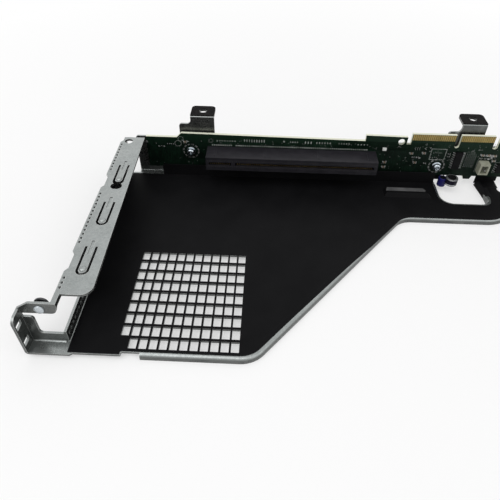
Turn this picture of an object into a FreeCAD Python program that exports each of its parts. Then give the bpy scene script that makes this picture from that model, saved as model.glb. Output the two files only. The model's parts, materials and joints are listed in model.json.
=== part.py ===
import FreeCAD, Part
import math
import os
import Sketcher

# Riser cage bracket: a folded sheet cage that carries an upright riser board.
# Every piece is drawn from one datum: x from the side wall's inner face, y from the plate's front
# edge and z from the plate's top face. The placements then put the whole part's box centre over the
# origin, with the rim's lower edge at z = 0.

doc = FreeCAD.newDocument("riser_cage")
sheet = doc.addObject("Spreadsheet::Sheet", "Sizes")
vector = FreeCAD.Vector

XY = "XY_Plane"
XZ = "XZ_Plane"
YZ = "YZ_Plane"


class Size:
    """A length: its value in millimetres and the expression that gives it."""

    def __init__(self, value, text):
        self.value = value
        self.text = text

    def __add__(self, other):
        other = as_size(other)
        return Size(self.value + other.value, f"({self.text} + {other.text})")

    def __sub__(self, other):
        other = as_size(other)
        return Size(self.value - other.value, f"({self.text} - {other.text})")

    def __mul__(self, factor):
        factor = as_size(factor)
        return Size(self.value * factor.value, f"({self.text} * {factor.text})")

    def __truediv__(self, divisor):
        divisor = as_size(divisor)
        return Size(self.value / divisor.value, f"({self.text} / {divisor.text})")

    def __neg__(self):
        return Size(-self.value, f"(0 - {self.text})")


def as_size(number):
    """A Size from a Size or a plain number."""
    if isinstance(number, Size):
        return number
    return Size(float(number), f"({float(number)})")


size_names = []


def size(name, value):
    """Write one driving dimension to the sheet and return it."""
    size_names.append(name)
    row = len(size_names)
    sheet.set(f"A{row}", name)
    sheet.set(f"B{row}", str(value))
    sheet.setAlias(f"B{row}", name)
    return Size(float(value), f"Sizes.{name}")


def bind(target, name, length):
    """Drive one property of an object from the sheet."""
    target.setExpression(name, as_size(length).text)


# Sheet metal
sheet_t = size("sheet_thickness", 1.0)
inner_bend = size("inner_bend_radius", 0.5)
outer_bend = inner_bend + sheet_t
fold_lap = size("fold_lap", 0.2)

# Base plate outline, at the flat inside the bends
rim_start_x = size("rim_start_x", 28.3)
relief_x = size("relief_x", 21.0)
diag_front_x = size("diagonal_front_x", 71.7)
diag_back_x = size("diagonal_back_x", 143.2)
front_round = size("front_corner_radius", 10.5)
elbow_round = size("elbow_radius", 12.0)
bar_y = size("bar_y", 89.7)
right_x = size("right_end_x", 203.3)
right_round = size("right_corner_radius", 16.5)
DIAGONAL_LEAN = 0.48
right_shoulder_y = size("right_shoulder_y", 108.0)
arm_x = size("arm_x", 200.0)
arm_y = size("arm_y", 114.5)
rim_depth = size("rim_depth", 2.8)
small_round = size("small_corner_radius", 1.5)

# Hand cut-out
cutout_left = size("cutout_left_x", 166.3)
cutout_right = size("cutout_right_x", 193.3)
cutout_front = size("cutout_front_y", 100.4)
cutout_left_round = size("cutout_left_radius", 7.5)
cutout_right_round = size("cutout_right_radius", 5.5)
cutout_top = size("cutout_top_z", 6.2)

# Grille
hole_x = size("grille_hole_x", 3.2)
hole_y = size("grille_hole_y", 5.0)
grille_x = size("grille_first_x", 20.8)
grille_y = size("grille_first_y", 5.55)
pitch_x = size("grille_pitch_x", 4.0)
pitch_y = size("grille_pitch_y", 6.05)
GRILLE_COLUMNS = 12
GRILLE_ROWS = 9

# Embossed rib
rib_left = size("rib_left_x", 137.7)
rib_right = size("rib_right_x", 162.5)
rib_front = size("rib_front_y", 105.0)
rib_width = size("rib_width", 6.4)
rib_rise = size("rib_rise", 1.9)
rib_slope = size("rib_slope", 1.5)
rib_tail = size("rib_tail", 2.5)
rib_slant = size("rib_slant", 0.8)
rib_corner = size("rib_corner", 1.8)

# Side wall and top flange
flange_top = size("flange_top_z", 22.3)
crest_round = size("crest_radius", 0.5)
wall_front = size("wall_front_y", 5.4)
flange_front = size("flange_front_y", 10.3)
flange_back = size("flange_back_y", 119.9)
flange_x_front = size("flange_front_width", 11.7)
flange_x_back = size("flange_back_width", 9.6)
flange_round = size("flange_corner_radius", 4.5)
flange_hole_x = size("flange_hole_x", 2.1)
flange_hole_y = size("flange_hole_y", 115.9)
flange_hole_r = size("flange_hole_radius", 2.1)
window_low = size("window_low_z", 5.9)
window_high = size("window_high_z", 20.2)
window_back = size("window_back_y", 25.5)

# Rows of small holes: one low in the side wall, the others through ledges along the top bend
vent_low_w = size("vent_low_width", 1.3)
vent_w = size("vent_width", 0.8)
vent_long = size("vent_length", 1.2)
ledge_out = size("ledge_overhang", 1.0)
ledge_slope = size("ledge_end_slope", 1.5)
ledge_front_end = size("ledge_front_end_y", 22.0)
ledge_mid_start = size("ledge_middle_start_y", 33.0)
ledge_mid_end = size("ledge_middle_end_y", 75.5)
ledge_rear_start = size("ledge_rear_start_y", 86.0)
ledge_rear_end = size("ledge_rear_end_y", 115.0)
vent_pitch = size("vent_pitch", 2.5)
vent_low_z = size("vent_low_z", 3.2)
vent_low_y = size("vent_low_first_y", 7.5)
vent_front_y = size("vent_front_first_y", 13.5)
vent_mid_y = size("vent_middle_first_y", 38.4)
vent_rear_y = size("vent_rear_first_y", 90.2)
VENTS_LOW = 16
VENTS_FRONT = 3
VENTS_MID = 14
VENTS_REAR = 10

# Sprung tongues in the top flange
tongue_x = size("tongue_x", 4.9)
tongue_half = size("tongue_half_width", 1.6)
slit_w = size("tongue_slit", 1.05)
tongue_root = size("tongue_first_root_y", 36.1)
tongue_long = size("tongue_length", 14.8)
tongue_pitch = size("tongue_pitch", 29.0)
dimple_r = size("dimple_radius", 0.9)
dimple_rise = size("dimple_rise", 0.35)
dimple_in = size("dimple_from_tip", 2.2)
groove_long = size("groove_length", 8.0)
groove_half = size("groove_half_width", 0.7)
groove_deep = size("groove_depth", 0.3)
groove_past_root = size("groove_past_root", 3.5)
pocket_long = size("end_slot_length", 4.6)
pocket_half = size("end_slot_half_width", 2.7)
tongue_short = size("rear_tongue_shortening", 1.0)
TONGUES = 3
TIP_ROUND = 0.98
POCKET_ROUND = 0.85

# Front ear
ear_reach = size("ear_reach", 15.4)
ear_proud = size("ear_proud", 0.8)
ear_top = size("ear_top_z", 19.0)
ear_top_round = size("ear_top_radius", 2.5)
ear_lip_top = size("ear_low_lip_z", 4.6)
ear_side_lip = size("ear_side_lip_width", 5.0)
ear_side_lip_top = size("ear_side_lip_z", 14.4)
strap_low = size("strap_low_z", 16.7)
strap_round = size("strap_corner_radius", 2.5)
ear_slot_y = size("ear_slot_y", 1.8)
ear_slot_long = size("ear_slot_length", 3.8)
ear_slot_high = size("ear_slot_height", 2.4)
ear_slot_low_z = size("ear_slot_low_z", 4.4)
ear_slot_high_z = size("ear_slot_high_z", 13.9)

# Back wall and lugs
board_front = size("board_front_y", 120.2)
board_t = size("board_thickness", 1.6)
spacer_long = size("spacer_length", 1.2)
back_left = size("back_wall_left_x", 4.0)
back_top = size("back_wall_top_z", 21.5)
foot_w = size("lug_foot_width", 6.1)
foot_top = size("lug_foot_top_z", 29.5)
foot_round = size("lug_foot_inner_radius", 2.0)
lug_top = size("lug_top_z", 33.8)
lug_w = size("lug_width", 12.4)
lug_left_x = size("left_lug_x", 34.1)
lug_right_x = size("right_lug_x", 173.8)
lug_long = size("lug_length", 10.6)
lug_round = size("lug_corner_radius", 2.2)
lug_hole_r = size("lug_hole_radius", 2.1)
lug_hole_in = size("lug_hole_from_wall", 5.6)
lug_pad_t = size("lug_pad_thickness", 0.5)
tail_left = size("tail_window_left_x", 45.3)
tail_right = size("tail_window_right_x", 129.3)
tail_low = size("tail_window_low_z", 7.3)
tail_high = size("tail_window_high_z", 17.6)

back_front_face = board_front + board_t + spacer_long
back_rear_face = back_front_face + sheet_t
back_fold = back_rear_face - outer_bend
lug_back = back_front_face + lug_long

# Insulating film
film_t = size("film_thickness", 0.3)
film_gap = size("film_edge_gap", 0.35)
film_crease = size("film_crease_y", 118.6)
film_flap_top = size("film_flap_top_z", 7.0)

# Riser board
board_left = size("board_left_x", 10.2)
board_right = size("board_right_x", 217.0)
board_low = size("board_low_z", 4.8)
board_top_left = size("board_top_left_z", 23.0)
board_step_x = size("board_step_x", 26.6)
board_step_run = size("board_step_run", 2.5)
board_top_mid = size("board_top_middle_z", 25.5)
board_top_mid_end = size("board_top_middle_end_z", 24.3)
shelf_left = size("board_shelf_left_x", 125.4)
shelf_right = size("board_shelf_right_x", 146.9)
shelf_top = size("board_shelf_top_z", 27.2)
shelf_rise = size("board_shelf_rise", 0.4)
notch_low = size("board_notch_z", 23.1)
finger_left = size("fingers_left_x", 149.0)
finger_top = size("fingers_top_z", 29.1)
finger_gap_one = size("finger_slit_one_x", 171.5)
finger_gap_two = size("finger_slit_two_x", 191.2)
finger_slit = size("finger_slit_width", 2.5)
finger_slit_low = size("finger_slit_low_z", 21.8)
finger_end = size("fingers_right_x", 214.5)
SLIT_ROUND = 0.49
board_hole_x = size("board_hole_x", 144.1)
board_hole_z = size("board_hole_z", 24.4)
board_hole_r = size("board_hole_radius", 1.7)
key_tab_x = size("key_tab_x", 181.3)
key_tab_w = size("key_tab_width", 4.8)
key_tab_drop = size("key_tab_drop", 2.0)

# Gold edge fingers
contact_w = size("edge_contact_width", 0.7)
contact_h = size("edge_contact_height", 3.5)
contact_t = size("edge_contact_thickness", 0.1)
contact_pitch = size("edge_contact_pitch", 1.0)
contact_inset = size("edge_contact_inset", 0.8)

# Card slot
slot_left = size("slot_left_x", 42.8)
slot_long = size("slot_length", 89.0)
slot_wide = size("slot_width", 7.5)
slot_tall = size("slot_height", 11.0)
slot_mid_z = size("slot_middle_z", 13.8)
throat_w = size("slot_throat_width", 1.8)
throat_deep = size("slot_throat_depth", 8.3)
throat_in = size("slot_end_wall", 1.5)
key_x = size("slot_key_from_left", 13.2)
key_w = size("slot_key_width", 1.9)
cell_pitch = size("slot_contact_pitch", 2.0)
cell_w = size("slot_contact_width", 0.8)
cell_t = size("slot_contact_thickness", 0.25)
cell_deep = size("slot_contact_length", 7.0)

# Screws and spacers
screw_left_x = size("left_screw_x", 33.8)
screw_left_z = size("left_screw_z", 15.0)
screw_right_x = size("right_screw_x", 165.5)
screw_right_z = size("right_screw_z", 10.6)
SCREW_PLACES = ((screw_left_x, screw_left_z), (screw_right_x, screw_right_z))
screw_r = size("screw_radius", 1.45)
thread_gap = size("screw_clearance", 0.05)
head_r = size("screw_head_radius", 1.95)
head_t = size("screw_head_height", 2.0)
recess_r = size("screw_recess_radius", 1.15)
recess_deep = size("screw_recess_depth", 1.1)
recess_w = size("screw_recess_width", 0.55)
screw_past = size("screw_past_wall", 0.6)
washer_r = size("washer_radius", 2.45)
washer_t = size("washer_thickness", 0.5)
spacer_flats = size("spacer_across_flats", 5.0)
board_clear = size("board_screw_clearance", 0.15)
ground_ring = size("ground_pad_ring_radius", 4.0)
ground_w = size("ground_pad_width", 1.3)
ground_h = size("ground_pad_height", 0.7)
ground_t = size("ground_pad_thickness", 0.1)
GROUND_PADS = 12

# Guide pin
pin_x = size("guide_pin_x", 6.7)
pin_z = size("guide_pin_z", 19.0)
pin_neck = size("guide_pin_neck_radius", 1.6)
pin_clear = size("guide_pin_clearance", 0.05)
pin_rivet_r = size("guide_pin_rivet_radius", 2.0)
pin_rivet_t = size("guide_pin_rivet_height", 0.8)
pin_stem = size("guide_pin_stem_length", 1.6)
pin_head_r = size("guide_pin_head_radius", 2.9)
pin_head_t = size("guide_pin_head_height", 1.4)
pin_crown_r = size("guide_pin_crown_radius", 1.75)

# Parts on the board
header_x = size("header_x", 188.0)
header_w = size("header_width", 5.8)
header_low = size("header_low_z", 8.0)
header_h = size("header_height", 6.3)
header_deep = size("header_depth", 5.0)
header_wall = size("header_wall", 0.8)
header_floor = size("header_floor", 1.5)
header_pin = size("header_pin_width", 0.6)
header_pitch = size("header_pin_pitch", 2.0)
chip_x = size("chip_x", 173.2)
chip_w = size("chip_width", 3.9)
chip_low = size("chip_low_z", 9.7)
chip_long = size("chip_length", 9.9)
chip_t = size("chip_thickness", 1.45)
chip_stand = size("chip_standoff", 0.15)
lead_w = size("lead_width", 0.45)
lead_t = size("lead_thickness", 0.25)
lead_reach = size("lead_reach", 1.05)
lead_pitch = size("lead_pitch", 1.27)
CHIP_LEADS = 8
driver_x = size("driver_chip_x", 197.0)
driver_w = size("driver_chip_width", 3.9)
driver_low = size("driver_chip_low_z", 8.2)
driver_long = size("driver_chip_length", 4.9)
DRIVER_LEADS = 4
can_small_x = size("small_capacitor_x", 169.2)
can_small_r = size("small_capacitor_radius", 2.0)
can_large_x = size("large_capacitor_x", 174.6)
can_large_r = size("large_capacitor_radius", 3.3)
can_small_low = size("small_capacitor_low_z", 0.9)
can_large_low = size("large_capacitor_low_z", 2.2)
can_small_h = size("small_capacitor_height", 5.0)
can_large_h = size("large_capacitor_height", 6.3)
can_gap = size("capacitor_board_gap", 0.2)
can_lead = size("capacitor_lead_width", 0.6)
indicator_x = size("indicator_x", 135.0)
indicator_z = size("indicator_z", 19.4)
indicator_w = size("indicator_width", 2.0)
indicator_h = size("indicator_height", 1.4)
indicator_t = size("indicator_thickness", 0.9)
ceramic_w = size("ceramic_width", 1.6)
ceramic_h = size("ceramic_height", 0.8)
ceramic_t = size("ceramic_thickness", 0.8)
resistor_w = size("resistor_width", 1.0)
resistor_h = size("resistor_height", 0.5)
resistor_t = size("resistor_thickness", 0.35)

# Places of the small parts on the board: x from the side wall, z from the plate
CERAMIC_PLACES = [(150.5, 18.0), (153.5, 12.4), (157.0, 18.4), (187.6, 18.2), (190.8, 18.2),
                  (194.0, 18.0), (194.4, 15.0), (204.0, 17.5), (207.0, 17.5), (31.0, 20.5),
                  (137.5, 12.0), (137.5, 9.0)]
RESISTOR_PLACES = [(152.0, 15.6), (154.2, 15.6), (159.0, 12.0), (170.2, 18.2), (170.2, 16.6),
                   (187.4, 16.2), (190.0, 16.2), (205.0, 14.0), (205.0, 12.4), (208.0, 9.0),
                   (22.0, 19.0), (24.0, 19.0)]

# The datum's place in the part's own frame
shift_x = (ear_reach - board_right) / 2
shift_y = (ear_proud - lug_back) / 2
shift_z = rim_depth


def place(piece, x=0, y=0, z=0):
    """Put a piece's own origin at a point given from the datum."""
    bind(piece, "Placement.Base.x", shift_x + x)
    bind(piece, "Placement.Base.y", shift_y + y)
    bind(piece, "Placement.Base.z", shift_z + z)


def new_body(label, x=0, y=0, z=0):
    """A sub-part whose own origin lies at a point given from the datum."""
    body = doc.addObject("PartDesign::Body", label)
    body.Label = label
    place(body, x, y, z)
    return body


def origin_plane(body, role):
    return [item for item in body.Origin.OriginFeatures if item.Role == role][0]


def new_sketch(body, name, plane, height=0):
    """A sketch on an origin plane, raised to a place along the part's own axis."""
    sketch = body.newObject("Sketcher::SketchObject", name)
    sketch.AttachmentSupport = [(origin_plane(body, plane), "")]
    sketch.MapMode = "FlatFace"
    along = -as_size(height) if plane == XZ else as_size(height)
    sketch.AttachmentOffset = FreeCAD.Placement(vector(0, 0, along.value), FreeCAD.Rotation())
    bind(sketch, "AttachmentOffset.Base.z", along)
    return sketch


def constrain(sketch, kind, *arguments, length=None):
    """Add a constraint; a length binds it to the sheet."""
    if length is None:
        sketch.addConstraint(Sketcher.Constraint(kind, *arguments))
        return
    index = sketch.addConstraint(Sketcher.Constraint(kind, *arguments, as_size(length).value))
    name = f"size_{index}"
    sketch.renameConstraint(index, name)
    bind(sketch, f"Constraints.{name}", length)


def pin_point(sketch, curve, end, x, y):
    """Hold one point of a curve at x, y from the sketch's origin."""
    constrain(sketch, "DistanceX", -1, 1, curve, end, length=x)
    constrain(sketch, "DistanceY", -1, 1, curve, end, length=y)


def chain(*corners, closed=True):
    """Straight runs through corners (x, y) or (x, y, radius), drawn into a sketch when called."""

    def draw(sketch):
        points = [vector(as_size(c[0]).value, as_size(c[1]).value, 0) for c in corners]
        radii = [as_size(c[2]).value if len(c) > 2 else 0.0 for c in corners]
        count = len(points)
        leave, arrive, arcs = {}, {}, {}
        for i in range(count):
            leave[i] = arrive[i] = points[i]
            if radii[i]:
                before = (points[i - 1] - points[i]).normalize()
                after = (points[(i + 1) % count] - points[i]).normalize()
                half = math.acos(max(-1.0, min(1.0, before.dot(after)))) / 2
                reach = radii[i] / math.tan(half)
                middle = points[i] + (before + after).normalize() * (radii[i] / math.sin(half))
                arrive[i] = points[i] + before * reach
                leave[i] = points[i] + after * reach
                left_turn = before.cross(after).z < 0
                ends = (arrive[i], leave[i]) if left_turn else (leave[i], arrive[i])
                start, stop = [math.atan2(e.y - middle.y, e.x - middle.x) for e in ends]
                if stop < start:
                    stop += 2 * math.pi
                circle = Part.Circle(middle, vector(0, 0, 1), radii[i])
                arcs[i] = (Part.ArcOfCircle(circle, start, stop), left_turn)
        runs = count if closed else count - 1
        lines = {}
        for i in range(runs):
            line = Part.LineSegment(leave[i], arrive[(i + 1) % count])
            lines[i] = sketch.addGeometry(line, False)
        for i in range(count):
            before, after = lines.get((i - 1) % count), lines.get(i)
            if not closed and i in (0, count - 1):
                line, end = (after, 1) if i == 0 else (before, 2)
                pin_point(sketch, line, end, corners[i][0], corners[i][1])
                continue
            if i not in arcs:
                constrain(sketch, "Coincident", before, 2, after, 1)
                pin_point(sketch, after, 1, corners[i][0], corners[i][1])
                continue
            curve, left_turn = arcs[i]
            arc = sketch.addGeometry(curve, False)
            first, last = (1, 2) if left_turn else (2, 1)
            constrain(sketch, "Tangent", before, 2, arc, first)
            constrain(sketch, "Tangent", arc, last, after, 1)
            constrain(sketch, "Radius", arc, length=corners[i][2])
            corner = sketch.addGeometry(Part.Point(points[i]), True)
            constrain(sketch, "PointOnObject", corner, 1, before)
            constrain(sketch, "PointOnObject", corner, 1, after)
            pin_point(sketch, corner, 1, corners[i][0], corners[i][1])

    return draw


def rectangle(x, y, width, height):
    """A rectangle from its lower left corner."""
    x, y = as_size(x), as_size(y)
    return chain((x, y), (x + width, y), (x + width, y + height), (x, y + height))


def disc(x, y, radius):
    """A full circle."""

    def draw(sketch):
        centre = vector(as_size(x).value, as_size(y).value, 0)
        circle = Part.Circle(centre, vector(0, 0, 1), as_size(radius).value)
        index = sketch.addGeometry(circle, False)
        constrain(sketch, "Radius", index, length=radius)
        pin_point(sketch, index, 3, x, y)

    return draw


def extrude(kind, body, name, plane, low, high, drawings):
    """Pad or cut a drawing from low to high along the axis square to its plane."""
    low, high = as_size(low), as_size(high)
    sketch = new_sketch(body, name + "_sketch", plane, (low + high) / 2)
    for draw in drawings:
        draw(sketch)
    feature = body.newObject(kind, name)
    feature.Profile = sketch
    feature.SideType = "Symmetric"
    feature.Length = (high - low).value
    feature.Refine = kind == "PartDesign::Pad"
    bind(feature, "Length", high - low)
    body.Tip = feature
    return feature


def pad(body, name, plane, low, high, *drawings):
    return extrude("PartDesign::Pad", body, name, plane, low, high, drawings)


def cut(body, name, plane, low, high, *drawings):
    return extrude("PartDesign::Pocket", body, name, plane, low, high, drawings)


def repeat(body, feature, name, axis, count, spacing, axis_two=None, count_two=1, spacing_two=1):
    """Copy a feature in a row, or in a grid when a second axis is given."""
    pattern = body.newObject("PartDesign::LinearPattern", name)
    pattern.Refine = False
    pattern.Originals = [feature]
    pattern.Direction = (origin_plane(body, axis), [""])
    pattern.Mode = "Spacing"
    pattern.Occurrences = count
    bind(pattern, "Offset", spacing)
    if axis_two:
        pattern.Direction2 = (origin_plane(body, axis_two), [""])
        pattern.Mode2 = "Spacing"
        pattern.Occurrences2 = count_two
        bind(pattern, "Offset2", spacing_two)
    body.Tip = pattern
    return pattern


def sweep(body, name, profile, path):
    """Sweep a profile sketch along a flat path sketch."""
    pipe = body.newObject("PartDesign::AdditivePipe", name)
    pipe.Profile = profile
    pipe.Spine = path
    pipe.Mode = "Binormal"
    pipe.Binormal = vector(0, 0, 1)
    body.Tip = pipe
    return pipe


def loft(kind, body, name, low_sketch, high_sketch):
    """Join two sketches at different heights."""
    feature = body.newObject(kind, name)
    feature.Profile = low_sketch
    feature.Sections = [high_sketch]
    feature.Ruled = True
    body.Tip = feature
    return feature


def turned(body, name, plane, axis, drawing):
    """Turn a half section round one of the body's axes."""
    sketch = new_sketch(body, name + "_sketch", plane)
    drawing(sketch)
    feature = body.newObject("PartDesign::Revolution", name)
    feature.Profile = sketch
    feature.ReferenceAxis = (origin_plane(body, axis), [""])
    feature.Angle = 360
    body.Tip = feature
    return feature


def round_edges(body, name, radius, wanted):
    """Round the edges whose middle point passes a test."""
    doc.recompute()
    base = body.Tip
    names = []
    for index, edge in enumerate(base.Shape.Edges, 1):
        middle = edge.valueAt((edge.FirstParameter + edge.LastParameter) / 2)
        if wanted(middle, edge):
            names.append(f"Edge{index}")
    feature = body.newObject("PartDesign::Fillet", name)
    feature.Base = (base, names)
    bind(feature, "Radius", radius)
    body.Tip = feature
    return feature


# Drawings that more than one piece shares

def plate_corners(gap):
    """The flat's outline along the rim, drawn in by a gap: front, diagonal, bar and right end."""
    lean = gap * DIAGONAL_LEAN
    return [(diag_front_x - lean, outer_bend + gap, front_round),
            (diag_back_x - lean, bar_y + gap, elbow_round),
            (right_x - gap, bar_y + gap, right_round)]


def cutout_corners(gap):
    """The hand cut-out's two front corners, widened by a gap."""
    return [(cutout_right + gap, cutout_front - gap, cutout_right_round),
            (cutout_left - gap, cutout_front - gap, cutout_left_round)]


def cut_grille(body, low, high):
    """The grille: full rows, and a front row that leaves out its first hole."""
    full = cut(body, "grille_hole", XY, low, high,
               rectangle(grille_x - hole_x / 2, grille_y + pitch_y - hole_y / 2, hole_x, hole_y))
    repeat(body, full, "grille_rows", "X_Axis", GRILLE_COLUMNS, pitch_x,
           "Y_Axis", GRILLE_ROWS, pitch_y)
    front = cut(body, "grille_front_hole", XY, low, high,
                rectangle(grille_x + pitch_x - hole_x / 2, grille_y - hole_y / 2, hole_x, hole_y))
    repeat(body, front, "grille_front_row", "X_Axis", GRILLE_COLUMNS - 1, pitch_x)


def rib_sketches(body, name, base_z, rise, grow):
    """The rib's foot and crown, with one slanted corner; grow widens both."""
    base_z = as_size(base_z)

    def outline(inset, right, slant_from):
        back = rib_front + rib_width - inset + grow
        slant_x = right - (back - slant_from) * rib_slant
        return chain((rib_left + inset - grow, rib_front + inset - grow),
                     (right, rib_front + inset - grow), (right, slant_from),
                     (slant_x, back), (rib_left + inset - grow, back))

    foot = new_sketch(body, name + "_foot", XY, base_z)
    outline(as_size(0), rib_right + grow, rib_front + rib_slope)(foot)
    crown = new_sketch(body, name + "_crown", XY, base_z + rise)
    outline(rib_slope, rib_right - rib_tail + grow, rib_front + rib_corner)(crown)
    return foot, crown


# Folded sheet cage

def rim_section(start, out):
    """The rim's section: a quarter bend and a short leg. Out is +1 or -1 along the sketch's x."""
    return chain((start - fold_lap * out, 0),
                 (start + outer_bend * out, 0, outer_bend),
                 (start + outer_bend * out, -rim_depth),
                 (start + inner_bend * out, -rim_depth),
                 (start + inner_bend * out, -sheet_t),
                 (start - fold_lap * out, -sheet_t))


def build_plate(body):
    relief_round = inner_bend
    fold_left = inner_bend
    pad(body, "plate", XY, -sheet_t, 0,
        chain((-ear_reach, -ear_proud),
              (fold_left + sheet_t, -ear_proud),
              (fold_left + sheet_t * 2, 0),
              (relief_x, 0),
              (relief_x, outer_bend, relief_round),
              *plate_corners(0),
              (right_x, right_shoulder_y, small_round),
              (arm_x, arm_y, small_round),
              (arm_x, back_fold),
              (cutout_right, back_fold),
              *cutout_corners(0),
              (cutout_left, back_fold),
              (back_left, back_fold),
              (back_left, flange_back + inner_bend),
              (fold_left, flange_back + inner_bend),
              (fold_left, wall_front + sheet_t),
              (-ear_reach, wall_front + sheet_t)))


def build_rims(body):
    profile = new_sketch(body, "rim_section", YZ, rim_start_x)
    rim_section(outer_bend, -1)(profile)
    path = new_sketch(body, "rim_path", XY)
    chain((rim_start_x, outer_bend), *plate_corners(0),
          (right_x, right_shoulder_y - small_round), closed=False)(path)
    sweep(body, "rim", profile, path)
    near_wall = back_fold - small_round
    inner_profile = new_sketch(body, "cutout_rim_section", XZ, near_wall)
    rim_section(cutout_left, 1)(inner_profile)
    inner_path = new_sketch(body, "cutout_rim_path", XY)
    right, left = cutout_corners(0)
    chain((cutout_left, near_wall), left, right, (cutout_right, near_wall), closed=False)(inner_path)
    sweep(body, "cutout_rim", inner_profile, inner_path)


def build_rib(body):
    loft("PartDesign::AdditiveLoft", body, "rib", *rib_sketches(body, "rib", 0, rib_rise, 0))
    hollow = rib_sketches(body, "rib_hollow", -sheet_t, rib_rise, -sheet_t / 2)
    loft("PartDesign::SubtractiveLoft", body, "rib_hollow", *hollow)


def build_side_wall(body):
    pad(body, "side_wall", XZ, flange_front, flange_back,
        chain((inner_bend + fold_lap, -sheet_t),
              (-sheet_t, -sheet_t, outer_bend),
              (-sheet_t, flange_top, crest_round),
              (flange_x_front, flange_top),
              (flange_x_front, flange_top - sheet_t),
              (0, flange_top - sheet_t),
              (0, 0, inner_bend),
              (inner_bend + fold_lap, 0)))
    pad(body, "wall_front", XZ, wall_front, flange_front,
        chain((inner_bend + fold_lap, -sheet_t),
              (-sheet_t, -sheet_t, outer_bend),
              (-sheet_t, flange_top),
              (0, flange_top),
              (0, 0, inner_bend),
              (inner_bend + fold_lap, 0)))
    past = 1.0
    cut(body, "card_window", YZ, -sheet_t * 2, sheet_t,
        chain((wall_front - past, window_low),
              (window_back, window_low),
              (window_back, window_high),
              (wall_front - past, window_high)))
    edge = -sheet_t
    ledge = edge - ledge_out
    inside = -sheet_t / 2
    pad(body, "ledges", XY, flange_top - sheet_t, flange_top,
        chain((inside, wall_front), (ledge, wall_front), (ledge, ledge_front_end),
              (edge, ledge_front_end + ledge_slope), (inside, ledge_front_end + ledge_slope)),
        chain((inside, ledge_mid_start - ledge_slope), (edge, ledge_mid_start - ledge_slope),
              (ledge, ledge_mid_start), (ledge, ledge_mid_end),
              (edge, ledge_mid_end + ledge_slope), (inside, ledge_mid_end + ledge_slope)),
        chain((inside, ledge_rear_start - ledge_slope), (edge, ledge_rear_start - ledge_slope),
              (ledge, ledge_rear_start), (ledge, ledge_rear_end),
              (edge, ledge_rear_end + ledge_slope), (inside, ledge_rear_end + ledge_slope)))
    cut(body, "flange_taper", XY, flange_top - sheet_t * 2, flange_top + sheet_t,
        chain((flange_x_front / 2, flange_front - past),
              (flange_x_front / 2, flange_front),
              (flange_x_front, flange_front, flange_round),
              (flange_x_back, flange_back),
              (flange_x_back, flange_back + past),
              (flange_x_front + past, flange_back + past),
              (flange_x_front + past, flange_front - past)))
    cut(body, "flange_hole", XY, flange_top - sheet_t * 2, flange_top + sheet_t,
        disc(flange_hole_x, flange_hole_y, flange_hole_r))


def cut_vents(body):
    """One row low in the wall; the others slanted through the ledges along the top bend."""
    low = cut(body, "low_vent", YZ, -sheet_t * 2, sheet_t,
              rectangle(vent_low_y - vent_low_w / 2, vent_low_z - vent_low_w / 2,
                        vent_low_w, vent_low_w))
    repeat(body, low, "low_vents", "Y_Axis", VENTS_LOW, vent_pitch)
    slant = 45
    lean = vent_w / 2 * math.sin(math.radians(slant))
    rows = (("front", vent_front_y, VENTS_FRONT), ("middle", vent_mid_y, VENTS_MID),
            ("rear", vent_rear_y, VENTS_REAR))
    for name, first_y, count in rows:
        punch = body.newObject("PartDesign::SubtractiveBox", name + "_vent")
        punch.AttachmentSupport = [(origin_plane(body, XY), "")]
        punch.MapMode = "FlatFace"
        bind(punch, "Length", vent_w)
        bind(punch, "Width", vent_long)
        bind(punch, "Height", sheet_t * 4)
        turn = FreeCAD.Rotation(vector(0, 1, 0), -slant)
        punch.AttachmentOffset = FreeCAD.Placement(vector(0, 0, 0), turn)
        bind(punch, "AttachmentOffset.Base.x", inner_bend - lean)
        bind(punch, "AttachmentOffset.Base.y", first_y - vent_long / 2)
        bind(punch, "AttachmentOffset.Base.z", flange_top - outer_bend - lean)
        punch.Refine = False
        repeat(body, punch, name + "_vents", "Y_Axis", count, vent_pitch)


def build_tongues(body):
    """Three sprung tongues: slits, then the tongues themselves, their grooves and dimples."""
    low, high = flange_top - sheet_t, flange_top
    wide = tongue_half + slit_w
    slits, tongues, grooves, dimples = [], [], [], []
    for index in range(TONGUES):
        last = index == TONGUES - 1
        root = tongue_root + tongue_pitch * index
        tip = root - tongue_long
        shown_tip = tip + tongue_short if last else tip
        groove_end = root + groove_past_root
        slits.append(chain((tongue_x - wide, root),
                           (tongue_x - wide, tip - slit_w, wide * TIP_ROUND),
                           (tongue_x + wide, tip - slit_w, wide * TIP_ROUND),
                           (tongue_x + wide, root)))
        tongues.append(chain((tongue_x - tongue_half, root + slit_w),
                             (tongue_x - tongue_half, shown_tip, tongue_half * TIP_ROUND),
                             (tongue_x + tongue_half, shown_tip, tongue_half * TIP_ROUND),
                             (tongue_x + tongue_half, root + slit_w)))
        grooves.append(rectangle(tongue_x - groove_half, groove_end - groove_long,
                                 groove_half * 2, groove_long))
        dimples.append(disc(tongue_x, shown_tip + dimple_in, dimple_r))
    cut(body, "tongue_slits", XY, low - sheet_t, high + sheet_t, *slits)
    pad(body, "tongues", XY, low, high, *tongues)
    slot_round = pocket_half * POCKET_ROUND
    slot_back = shown_tip - slit_w
    cut(body, "end_slot", XY, low - sheet_t, high + sheet_t,
        chain((tongue_x - pocket_half, slot_back, slot_round),
              (tongue_x - pocket_half, slot_back - pocket_long, slot_round),
              (tongue_x + pocket_half, slot_back - pocket_long, slot_round),
              (tongue_x + pocket_half, slot_back, slot_round)))
    cut(body, "tongue_grooves", XY, high - groove_deep, high + sheet_t, *grooves)
    pad(body, "tongue_dimples", XY, high, high + dimple_rise, *dimples)


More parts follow.
